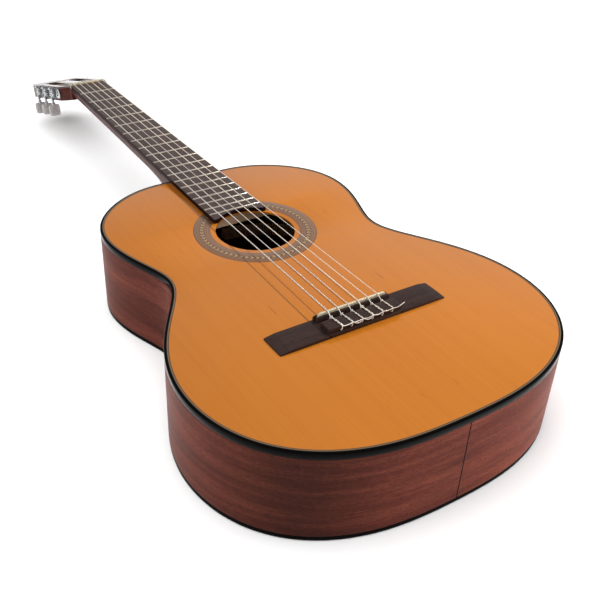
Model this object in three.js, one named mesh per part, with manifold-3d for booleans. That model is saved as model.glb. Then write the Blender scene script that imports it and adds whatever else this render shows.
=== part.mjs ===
// Classical guitar, built piece by piece as a luthier would.
// Millimetres, +Z up. The guitar lies on its back: the underside of the back is z = 0,
// +Y runs from the tail to the head, +X is the treble side.
// Inside the "guitar" group the working frame has y = 0 at the front edge of the nut
// and z = 0 on the outer face of the soundboard.
import * as THREE from 'three';
import { mergeVertices } from 'three/addons/utils/BufferGeometryUtils.js';
import Module from 'manifold-3d';

const wasm = await Module();
wasm.setup();

// ---------------------------------------------------------------- dimensions
const SCALE = 650;                 // open string length
const COMPENSATION = 2.7;          // saddle set back from the theoretical scale
const BODY_DEPTH = 97;             // soundboard face to underside of the back
const NUT_TO_CENTRE = 326.785;       // nut front edge to the middle of the overall length
const TOP_T = 2.2;                 // soundboard thickness
const BACK_T = 2.5;                // back thickness
const BIND_W = 2.5;                // binding width (seen from above)
const BIND_H = 6.5;                // top binding height (seen from the side)
const BACK_BIND_H = 5;             // back binding height
const PURF_W = 2;                  // purfling strip inside the binding
const LINING = 5.5;                // lining depth inside the side
const SOUNDHOLE_Y = -476.5, SOUNDHOLE_R = 42.3;
const ROSETTE_IN = 47.8, ROSETTE_OUT = 66, ROSETTE_T = 0.8;
const FB_TOP = 5.2;                // fretboard thickness over the soundboard plane
const FB_NUT = 25, FB_12 = 30.2;   // half widths at the nut and at the 12th fret
const FRETS = 19, FRET_W = 2.2, FRET_H = 1.0;
const NUT_LEN = 5, NUT_TOP = 7.0;
const NUT_SPREAD = 43, SADDLE_SPREAD = 57;
const SADDLE_TOP = 11.6, SADDLE_T = 2.6, SADDLE_HALF = 39;
const BRIDGE_HALF = 92.5, BRIDGE_BLOCK = 41, BRIDGE_FRONT = -648.5, BRIDGE_BACK = -677.5;
const TIE_FRONT = -661.7, TIE_BACK = -675.6, TIE_TOP = 8.6;
const HEAD_ANGLE = 16.58 * Math.PI / 180, HEAD_Y = 4, HEAD_Z = 3.5;   // face plane of the head
const HEAD_LEN = 157, HEAD_CROWN = 12, HEAD_HALF = 35.8, HEAD_T = 20, VENEER = 2.5;
const SLOT_IN = 9.7, SLOT_OUT = 27.4, SLOT_NEAR = 18.5, SLOT_FAR = 122;
const ROLLER_S = [39, 74, 109];    // roller positions along the head
const ROLLER_DEPTH = 8.5;          // roller axis below the head face
const ROLLER_R = 4.8, JOURNAL_R = 3, JOURNAL_CLEAR = 0.45;
const TEETH = 14, GEAR_PITCH = 5.5, GEAR_OUT = 5.9, GEAR_ROOT = 4.65, GEAR_W = 2.6;
const CENTRES = 8.0;               // gear axis to worm axis
const LEAD = 2 * Math.PI * GEAR_PITCH / TEETH;
const WORM_ROOT = 1.75, WORM_OUT = 2.95, WORM_LEN = 9;
const PLATE_T = 1.2;
const STRING_D = [1.08, 0.89, 0.76, 1.02, 0.82, 0.72];   // 6th to 1st string

// half outline of the soundboard's visible edge: distance from (0, OUT_Y), cosine series in the polar angle
const OUT_Y = -560;
const OUT = [204.738, -24.102, 57.065, 15.259, -17.526, -5.701, -4.034, -0.228, 0.889, 0.85, -0.301, -0.787, -0.598, -0.218, -0.12, 0.043];
const SEG = 29;                    // steps along each half of the outline

// ---------------------------------------------------------------- helpers
const V = (x, y, z) => new THREE.Vector3(x, y, z);

function geometry(verts, tris) {
  const g = new THREE.BufferGeometry();
  g.setAttribute('position', new THREE.BufferAttribute(new Float32Array(verts.flat()), 3));
  g.setIndex(tris.flat());
  return g;
}
function solid(geo) {
  let g = geo.clone();
  g.deleteAttribute('normal'); g.deleteAttribute('uv');
  g = mergeVertices(g, 1e-4);
  return new wasm.Manifold(new wasm.Mesh({ numProp: 3, vertProperties: new Float32Array(g.attributes.position.array), triVerts: new Uint32Array(g.index.array) }));
}
function fromSolid(m) {
  const k = m.getMesh();
  const pos = new Float32Array(k.numVert * 3);
  for (let i = 0; i < k.numVert; i++) for (let j = 0; j < 3; j++) pos[3 * i + j] = k.vertProperties[i * k.numProp + j];
  const g = new THREE.BufferGeometry();
  g.setAttribute('position', new THREE.BufferAttribute(pos, 3));
  g.setIndex(Array.from(k.triVerts));
  return g;
}
// closed prism from a flat outline [[u,v],...] between w0 and w1, mapped by place(u, v, w)
function prism(points, w0, w1, place) {
  let shape = points.map(p => new THREE.Vector2(p[0], p[1]));
  if (THREE.ShapeUtils.isClockWise(shape)) shape = shape.reverse();
  const outline = shape.map(p => [p.x, p.y]);
  const n = shape.length, faces = THREE.ShapeUtils.triangulateShape(shape, []);
  const verts = [], tris = [];
  for (const w of [w0, w1]) for (const p of outline) verts.push(place(p[0], p[1], w));
  for (const [a, b, c] of faces) { tris.push([c, b, a]); tris.push([a + n, b + n, c + n]); }
  for (let i = 0; i < n; i++) { const j = (i + 1) % n; tris.push([i, j, j + n], [i, j + n, i + n]); }
  return outward(verts, tris);
}
// turn the mesh inside out when its signed volume is negative
function outward(verts, tris) {
  let vol = 0;
  for (const [a, b, c] of tris) {
    const [A, B, C] = [verts[a], verts[b], verts[c]];
    vol += A[0] * (B[1] * C[2] - B[2] * C[1]) - A[1] * (B[0] * C[2] - B[2] * C[0]) + A[2] * (B[0] * C[1] - B[1] * C[0]);
  }
  return geometry(verts, vol < 0 ? tris.map(t => [t[0], t[2], t[1]]) : tris);
}
const box = (x0, x1, y0, y1, z0, z1) => {
  const g = new THREE.BoxGeometry(x1 - x0, y1 - y0, z1 - z0);
  g.translate((x0 + x1) / 2, (y0 + y1) / 2, (z0 + z1) / 2);
  return g;
};
// solid lofted through closed rings (arrays of [x,y,z], same count); ends are capped flat
function loft(rings, closed = false) {
  const n = rings[0].length, verts = rings.flat(), tris = [], m = rings.length;
  for (let r = 0; r < (closed ? m : m - 1); r++) for (let i = 0; i < n; i++) {
    const j = (i + 1) % n, a = r * n, b = ((r + 1) % m) * n;
    tris.push([a + i, a + j, b + j], [a + i, b + j, b + i]);
  }
  if (!closed) for (const r of [0, m - 1]) {
    const ring = rings[r];
    // project on the plane of the ring
    const c = ring.reduce((s, p) => s.add(V(...p)), V(0, 0, 0)).divideScalar(n);
    const nrm = V(0, 0, 0);
    for (let i = 0; i < n; i++) nrm.add(V(...ring[i]).sub(c).cross(V(...ring[(i + 1) % n]).sub(c)));
    nrm.normalize();
    const u = V(...ring[0]).sub(c).normalize(), v = nrm.clone().cross(u);
    const flat = ring.map(p => { const d = V(...p).sub(c); return new THREE.Vector2(d.dot(u), d.dot(v)); });
    for (const [a, b, d] of THREE.ShapeUtils.triangulateShape(flat, [])) tris.push(r === 0 ? [d, b, a] : [a + r * n, b + r * n, d + r * n]);
  }
  return outward(verts, tris);
}
// body outline: point and outward normal for t in 0..PI (neck end to tail), x >= 0
function outPoint(t, inset) {
  const f = s => { let r = 0; for (let k = 0; k < OUT.length; k++) r += OUT[k] * Math.cos(k * s); return [r * Math.sin(s), r * Math.cos(s) + OUT_Y]; };
  const p = f(t), a = f(t - 1e-4), b = f(t + 1e-4);
  let tx = b[0] - a[0], ty = b[1] - a[1]; const l = Math.hypot(tx, ty); tx /= l; ty /= l;
  const off = BIND_W + PURF_W - inset;            // the series describes the inner edge of the purfling
  return [p[0] - ty * off, p[1] + tx * off];
}
// evenly spaced parameters along half the outline, from arc position t0 to the tail
function halfParams(t0, n) {
  const N = 600, acc = [0], ts = [t0];
  let prev = outPoint(t0, 0);
  for (let i = 1; i <= N; i++) { const t = t0 + (Math.PI - t0) * i / N, q = outPoint(t, 0); acc.push(acc[i - 1] + Math.hypot(q[0] - prev[0], q[1] - prev[1])); ts.push(t); prev = q; }
  const out = [];
  for (let k = 0; k <= n; k++) {
    const s = acc[N] * k / n; let i = acc.findIndex(v => v >= s - 1e-9); if (i < 1) i = 1;
    out.push(ts[i - 1] + (ts[i] - ts[i - 1]) * (s - acc[i - 1]) / (acc[i] - acc[i - 1]));
  }
  out[n] = Math.PI;
  return out;
}
// parameter where the outer outline reaches |x| = x0 at the neck end
function paramAtX(x0) { let a = 0, b = 0.5; for (let i = 0; i < 60; i++) { const m = (a + b) / 2; (outPoint(m, 0)[0] < x0 ? a = m : b = m); } return a; }
const NECK_SIDE = 30.9;            // half width of the gap that the neck fills in the sides and the top binding
const T_NECK = paramAtX(NECK_SIDE);
const FULL = [0, T_NECK * 0.5, ...halfParams(T_NECK, SEG - 2)];
const OPEN = FULL.slice(2);        // the part of the outline outside the neck
// full closed outline, counter-clockwise seen from above
function outline(inset) {
  const right = FULL.map(t => outPoint(t, inset));
  const left = right.slice(1, -1).map(p => [-p[0], p[1]]);
  return [...right.reverse(), ...left].map(p => [Math.abs(p[0]) < 1e-6 ? 0 : p[0], p[1]]);
}
const circle = (r, n, cx = 0, cy = 0, ph = 0) => Array.from({ length: n }, (_, i) => [cx + r * Math.cos(ph + i * 2 * Math.PI / n), cy + r * Math.sin(ph + i * 2 * Math.PI / n)]);
const flatZ = (u, v, w) => [u, v, w];
const plateZ = (pts, z0, z1) => prism(pts, z0, z1, flatZ);
// strip of a profile [[inset, z],...] swept along the outline for the given parameters on one side (sx = +1 / -1)
function strip(params, profile, sx) {
  return loft(params.map(t => profile.map(([o, z]) => { const p = outPoint(t, o); return [sx * Math.max(p[0], 0), p[1], z]; })));
}
const fbHalf = y => FB_NUT + (FB_12 - FB_NUT) * (-y) / (SCALE / 2);
const fretY = k => -SCALE * (1 - Math.pow(2, -k / 12));
const rod = (r, a, b, n, ph = 0) => {            // solid round bar between two points
  const A = V(...a), B = V(...b), d = B.clone().sub(A).normalize();
  const u = (Math.abs(d.x) > 0.9 ? V(0, 1, 0) : V(1, 0, 0)).cross(d).normalize(), v = d.clone().cross(u);
  const ring = P => Array.from({ length: n }, (_, i) => { const t = ph + i * 2 * Math.PI / n; const q = P.clone().addScaledVector(u, r * Math.cos(t)).addScaledVector(v, r * Math.sin(t)); return [q.x, q.y, q.z]; });
  return loft([ring(A), ring(B)]);
};

// ---------------------------------------------------------------- assembly
const guitar = new THREE.Group();
guitar.position.set(0, NUT_TO_CENTRE, BODY_DEPTH);
const head = new THREE.Group();                  // head frame: y along the head, z out of its face
head.position.set(0, HEAD_Y, HEAD_Z);
head.rotation.x = -HEAD_ANGLE;
guitar.add(head);

const mat = (color, roughness, metalness = 0) => new THREE.MeshStandardMaterial({ color, roughness, metalness });
const M = {
  cedar: mat(0xc88445, 0.3), mahogany: mat(0x6e3423, 0.35), ebony: mat(0x2a211f, 0.4), rosewood: mat(0x3a2823, 0.45),
  black: mat(0x141211, 0.25), bone: mat(0xe8dfc8, 0.35), rosette: mat(0x9a7558, 0.4), spruce: mat(0xc9a877, 0.7),
  nickel: mat(0xc9c9c6, 0.3, 1), brass: mat(0xb8975a, 0.35, 1), pearl: mat(0xd8d4c8, 0.3), nylon: mat(0xe9e4d6, 0.35), silver: mat(0xd4cdbc, 0.4, 0.6),
};
function add(name, geo, material, parent = guitar) {
  geo.computeVertexNormals();
  const m = new THREE.Mesh(geo, material.clone());
  m.name = name; parent.add(m); return m;
}

// soundboard: cedar plate with the soundhole and a shallow groove for the rosette
{
  const plate = solid(plateZ(outline(BIND_W + PURF_W + 0.1), -TOP_T, 0));
  const hole = solid(plateZ(circle(SOUNDHOLE_R, 36, 0, SOUNDHOLE_Y), -TOP_T - 1, 1));
  const groove = solid(plateZ(circle(ROSETTE_OUT, 48, 0, SOUNDHOLE_Y), -ROSETTE_T, 1)).subtract(solid(plateZ(circle(ROSETTE_IN, 36, 0, SOUNDHOLE_Y), -ROSETTE_T - 1, 2)));
  add('soundboard', fromSolid(plate.subtract(hole).subtract(groove)), M.cedar);
  const ring = solid(plateZ(circle(ROSETTE_OUT - 0.12, 48, 0, SOUNDHOLE_Y), -ROSETTE_T, 0)).subtract(solid(plateZ(circle(ROSETTE_IN + 0.12, 36, 0, SOUNDHOLE_Y), -ROSETTE_T - 1, 1)));
  add('rosette', fromSolid(ring), M.rosette);
}
// back plate with its three cross bars and centre strip
{
  let back = solid(plateZ(outline(BIND_W + 0.1), -BODY_DEPTH, -BODY_DEPTH + BACK_T));
  const zi = -BODY_DEPTH + BACK_T;
  for (const [y, h] of [[-425, 127], [-540, 108], [-690, 170]]) back = back.add(solid(box(-h, h, y - 4, y + 4, zi - 0.5, zi + 13)));
  back = back.add(solid(box(-9, 9, -796, -373.5, zi - 0.5, zi + 2)));
  add('back_plate', fromSolid(back), M.mahogany);
}
// sides with their linings, split on the centre seam at the tail and let into the neck at the front
{
  const zb = -BODY_DEPTH + BACK_T, inn = BIND_W + LINING;
  const profile = [[0, -BIND_H], [0, -BODY_DEPTH + BACK_BIND_H], [BIND_W, -BODY_DEPTH + BACK_BIND_H], [BIND_W, zb], [inn, zb], [inn, zb + 7], [BIND_W, zb + 15],
    [BIND_W, -TOP_T - 14], [inn, -TOP_T - 7], [inn, -TOP_T], [BIND_W, -TOP_T], [BIND_W, -BIND_H]];
  for (const [name, sx] of [['side_bass', -1], ['side_treble', 1]]) {
    let s = solid(strip(OPEN, profile, sx));
    // seam gap at the tail, room for the tail block and the neck block
    s = s.subtract(solid(box(-0.1, 0.1, -900, -780, -120, 20)));
    s = s.subtract(solid(box(-32.3, 32.3, -816.3, -780, -120, 20)));
    s = s.subtract(solid(box(-30.9, 30.9, -400, -300, -120, 20)));
    add(name, fromSolid(s), M.mahogany);
  }
}
// bindings: black strips with the light purfling line glued to the top one
{
  const half = OPEN, g = 0.08;
  const profile = [[0, 0], [0, -BIND_H + g], [BIND_W - g, -BIND_H + g], [BIND_W - g, -TOP_T + g], [BIND_W + PURF_W, -TOP_T + g], [BIND_W + PURF_W, 0]];
  const both = [...half.map(t => [t, 1]), ...half.slice(0, -1).reverse().map(t => [t, -1])];
  add('top_binding', loft(both.map(([t, sx]) => profile.map(([o, z]) => { const p = outPoint(t, o); return [t === Math.PI ? 0 : sx * p[0], p[1], z]; }))), M.black);
  const lo = -BODY_DEPTH, hi = -BODY_DEPTH + BACK_BIND_H - g;
  const prof = [[0, hi], [0, lo], [BIND_W, lo], [BIND_W - g, hi]];
  const ring = [...FULL.map(t => [t, 1]), ...FULL.slice(1, -1).reverse().map(t => [t, -1])];
  add('back_binding', loft(ring.map(([t, sx]) => prof.map(([o, z]) => { const p = outPoint(t, o); return [(t === Math.PI || t === 0) ? 0 : sx * p[0], p[1], z]; })), true), M.black);
}
// tail block
add('tail_block', box(-32, 32, -815.9, -798, -BODY_DEPTH + BACK_T, -TOP_T), M.mahogany);

// neck: shaft, heel, inner foot and head blank in one piece of mahogany
const headToGuitar = new THREE.Matrix4().makeRotationX(-HEAD_ANGLE).setPosition(0, HEAD_Y, HEAD_Z);
// head outline with the crown-shaped tip
function headOutline(inset = 0) {
  const w = HEAD_HALF - inset, L = HEAD_LEN - inset, right = [];
  right.push([FB_NUT - inset * 0.5, inset ? 1.2 : 1.0], [FB_NUT + 1.0 - inset * 0.6, 5], [FB_NUT + 5.2 - inset, 11.5], [w - 2, 18.5], [w, 23.5], [w, L - 3], [w - 1.2, L]);
  // crown: a dip, a small shoulder and a round centre
  right.push([w - 9, L + 1.2], [w - 15.5, L + 4.8], [w - 19, L + 4.2], [12, L + 6.2], [8, L + HEAD_CROWN - 2.6], [4, L + HEAD_CROWN - 0.6], [0, L + HEAD_CROWN]);
  return [...right, ...right.slice(0, -1).reverse().map(p => [-p[0], p[1]])];
}
const slotOutline = sx => {
  const r = (SLOT_OUT - SLOT_IN) / 2, cx = (SLOT_OUT + SLOT_IN) / 2, pts = [];
  for (let i = 0; i <= 6; i++) { const t = Math.PI * i / 6; pts.push([cx + r * Math.cos(t), SLOT_FAR - r + r * Math.sin(t)]); }
  for (let i = 0; i <= 6; i++) { const t = Math.PI + Math.PI * i / 6; pts.push([cx + r * Math.cos(t), SLOT_NEAR + r + r * Math.sin(t)]); }
  return sx > 0 ? pts : pts.map(p => [-p[0], p[1]]).reverse();
};
{
  // cross sections of the shaft: flat top, rounded back, from the nut to the body
  const N = 14;
  const section = (y, half, depth, blunt, top = 0) => {
    const ring = [];
    for (let i = 0; i <= N; i++) {
      const t = Math.PI * i / N, c = Math.cos(t), s = Math.sin(t);
      const x = half * Math.sign(c) * Math.pow(Math.abs(c), blunt), z = -depth * Math.pow(s, blunt);
      ring.push([x, y, top + z]);
    }
    return ring;
  };
  const shaft = [];
  const yb = -327.2;
  shaft.push(section(4.6, 25, 16.4, 0.62), section(0, 25, 15.6, 0.66), section(-60, fbHalf(-60), 16, 0.68), section(-200, fbHalf(-200), 17.5, 0.7), section(-262, fbHalf(-262), 19, 0.72),
    section(-280, fbHalf(-280), 22, 0.78), section(-292, fbHalf(-292), 28, 0.9), section(-301, fbHalf(-301), 38, 1.05), section(-309, fbHalf(-309), 54, 1.2), section(-315, fbHalf(-315), 71, 1.28),
    section(-320, fbHalf(-320), 86, 1.3), section(-324, fbHalf(-324), 96.5, 1.3), section(-332, 30.2, 96.5, 1.3));
  let neck = solid(loft(shaft));
  // keep the heel clear of the back binding and of the sides
  neck = neck.add(solid(box(-30.2, 30.2, -346, -331, -BODY_DEPTH + BACK_T, -TOP_T)));
  neck = neck.subtract(solid(box(-60, 60, -360, -330.0, -BODY_DEPTH - 5, -BODY_DEPTH + BACK_BIND_H + 0.2)));
  neck = neck.add(solid(box(-30.2, 30.2, -346, -333.5, -BODY_DEPTH + BACK_T, -50)));
  neck = neck.add(solid(box(-30.2, 30.2, -373, -345, -BODY_DEPTH + BACK_T, -82)));
  // head blank, cut through by the two string slots
  let blank = solid(prism(headOutline(), -HEAD_T, -VENEER, flatZ));
  for (const sx of [-1, 1]) blank = blank.subtract(solid(prism(slotOutline(sx), -HEAD_T - 2, 2, flatZ)));
  for (const s of ROLLER_S) for (const sx of [-1, 1])
    blank = blank.subtract(solid(rod(JOURNAL_R + JOURNAL_CLEAR, [sx * 3.2, s, -ROLLER_DEPTH], [sx * 45, s, -ROLLER_DEPTH], 10)));
  blank = blank.transform(headToGuitar.elements);
  neck = neck.add(blank);
  // the seat of the nut and the soundboard's edge stay flat
  neck = neck.subtract(solid(box(-40, 40, -400, 5.2, 0, 40)));
  neck = neck.subtract(solid(box(-40, 40, -400, -329.4, -TOP_T, 40)));
  add('neck', fromSolid(neck), M.mahogany);
  let veneer = solid(prism(headOutline(0.05), -VENEER + 0.02, 0, flatZ));
  for (const sx of [-1, 1]) veneer = veneer.subtract(solid(prism(slotOutline(sx), -HEAD_T - 2, 2, flatZ)));
  veneer = veneer.transform(headToGuitar.elements);
  veneer = veneer.subtract(solid(box(-60, 60, -20, 5.25, -30, 40)));
  add('headstock_veneer', fromSolid(veneer), M.rosewood);
}
// fretboard: tapered rosewood, its end cut to the soundhole's arc
const END_ARC = SOUNDHOLE_R - 0.6;
{
  const yl = -444.5, pts = [[fbHalf(0), -0.1], [-fbHalf(0), -0.1], [-fbHalf(yl), yl]];
  const half = fbHalf(yl), a0 = Math.acos(-half * 0.985 / END_ARC), a1 = Math.acos(half * 0.985 / END_ARC);
  for (let i = 0; i <= 12; i++) { const a = a0 + (a1 - a0) * i / 12; pts.push([END_ARC * Math.cos(a), Math.max(SOUNDHOLE_Y + END_ARC * Math.sin(a), yl)]); }
  pts.push([fbHalf(yl), yl]);
  add('fretboard', plateZ(pts, 0, FB_TOP), M.rosewood);
}
for (let k = 1; k <= FRETS; k++) {
  const y = fretY(k) + (k === FRETS ? 0.4 : 0), h = fbHalf(y) - 0.8, w = FRET_W / 2;
  const prof = [[-w, 0], [w, 0], [w * 0.92, FRET_H * 0.45], [w * 0.5, FRET_H * 0.9], [0, FRET_H], [-w * 0.5, FRET_H * 0.9], [-w * 0.92, FRET_H * 0.45]];
  const ends = [[-1, 0], [1, 0]];
  add(`fret_${String(k).padStart(2, '0')}`, prism(prof, -h, h, (u, v, x) => [x * (1 - 0.012 * (v > FRET_H * 0.6 ? 1 : 0)), y + u, FB_TOP + v]), M.nickel);
}
// nut: bone block on the end of the neck
add('nut', prism([[0.05, 0.02], [NUT_LEN, 0.02], [NUT_LEN, NUT_TOP - 1.0], [NUT_LEN - 1.2, NUT_TOP - 0.3], [1.4, NUT_TOP], [0.05, NUT_TOP - 0.2]], -FB_NUT, FB_NUT, (u, v, x) => [x, u, v]), M.bone);

// bridge: rosewood, thin wings, raised middle with saddle slot, string channel and tie block
{
  const yF = BRIDGE_FRONT, yB = BRIDGE_BACK, ym = (yF + yB) / 2;
  const sad = -SCALE - COMPENSATION;
  const wing = (x0, x1, z0, z1) => loft([[x0, z0], [x1, z1]].map(([x, z]) => [[x, yB, 0], [x, yF, 0], [x, yF, z * 0.55], [x, yF - 3.5, z * 0.92], [x, ym, z], [x, yB + 3.5, z * 0.92], [x, yB, z * 0.55]]));
  let bridge = null;
  for (const sx of [-1, 1]) {
    const w = solid(loft([[BRIDGE_BLOCK - 1, 4.2], [BRIDGE_HALF - 9, 3.6], [BRIDGE_HALF, 2.0]].map(([x, z]) => {
      const cut = x > BRIDGE_HALF - 0.5 ? 1.2 : 0;
      const r = [[x, yB + cut, 0], [x, yF - cut, 0], [x, yF - cut, z * 0.55], [x, yF - 3.5 - cut, z * 0.92], [x, ym, z], [x, yB + 3.5 + cut, z * 0.92], [x, yB + cut, z * 0.55]].map(p => [sx * p[0], p[1], p[2]]);
      return sx > 0 ? r : r;
    })));
    bridge = bridge ? bridge.add(w) : w;
  }
  const midProfile = [[yF, 0], [yF, 5.6], [yF - 1.2, 7.2], [sad + SADDLE_T / 2 + 0.05, 7.8], [sad + SADDLE_T / 2 + 0.05, 2.2], [sad - SADDLE_T / 2 - 0.05, 2.2], [sad - SADDLE_T / 2 - 0.05, 7.8],
    [sad - SADDLE_T / 2 - 1.6, 7.2], [TIE_FRONT + 3.2, 3.4], [TIE_FRONT, 3.4], [TIE_FRONT, TIE_TOP], [TIE_BACK, TIE_TOP], [yB, 5.2], [yB, 0]];
  let mid = solid(prism(midProfile, -BRIDGE_BLOCK, BRIDGE_BLOCK, (u, v, x) => [x, u, v]));
  // string holes through the tie block
  for (let i = 0; i < 6; i++) {
    const x = -SADDLE_SPREAD / 2 + SADDLE_SPREAD * i / 5;
    mid = mid.subtract(solid(rod(1.0, [x, TIE_FRONT + 6, 5.0], [x, yB - 5, 5.0 - 0.2], 6)));
  }
  bridge = bridge.add(mid);
  add('bridge', fromSolid(bridge), M.ebony);
  const sz = [[-SADDLE_T / 2, 2.3], [SADDLE_T / 2, 2.3], [SADDLE_T / 2, SADDLE_TOP - 0.9], [SADDLE_T / 4, SADDLE_TOP], [-SADDLE_T / 4, SADDLE_TOP], [-SADDLE_T / 2, SADDLE_TOP - 0.9]];
  const ring = (x, dz) => sz.map(([u, v]) => [x, sad + u, v > 3 ? v - dz : v]);
  add('saddle', loft([ring(-SADDLE_HALF, 2.2), ring(-SADDLE_HALF + 2.5, 0.4), ring(-SADDLE_HALF + 6, 0), ring(SADDLE_HALF - 6, 0), ring(SADDLE_HALF - 2.5, 0.4), ring(SADDLE_HALF, 2.2)]), M.bone);
}
// bracing lattice under the soundboard: two harmonic bars, sound hole patches, fan struts, bridge patch, closing struts
{
  const z1 = -TOP_T, parts = [box(-124, 124, -429, -421, -16, z1 + 1), box(-112, 112, -540, -532, -16, z1 + 1)];
  for (const sx of [-1, 1]) parts.push(sx > 0 ? box(50, 68, -533, -428, -4.4, z1 + 1) : box(-68, -50, -533, -428, -4.4, z1 + 1));
  let b = null;
  const fan = (x0, y0, x1, y1, w, h) => {
    const dx = x1 - x0, dy = y1 - y0, l = Math.hypot(dx, dy), nx = -dy / l * w / 2, ny = dx / l * w / 2;
    return prism([[x0 + nx, y0 + ny], [x0 - nx, y0 - ny], [x1 - nx, y1 - ny], [x1 + nx, y1 + ny]], z1 - h, z1 + 1, flatZ);
  };
  for (let i = -3; i <= 3; i++) parts.push(fan(i * 20, -535, i * 36, -785 + Math.abs(i) * 6, 5, 5));
  parts.push(box(-100, 100, -682, -645, -4.3, z1 + 1), box(-7, 7, -793, -782, -6.1, z1 + 1));
  for (const sx of [-1, 1]) parts.push(fan(sx * 2, -788, sx * 122, -738, 5, 4));
  for (const p of parts) b = b ? b.add(solid(p)) : solid(p);
  b = b.subtract(solid(box(-200, 200, -900, -300, z1, z1 + 5)));
  add('soundboard_bracing', fromSolid(b), M.spruce);
}

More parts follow.
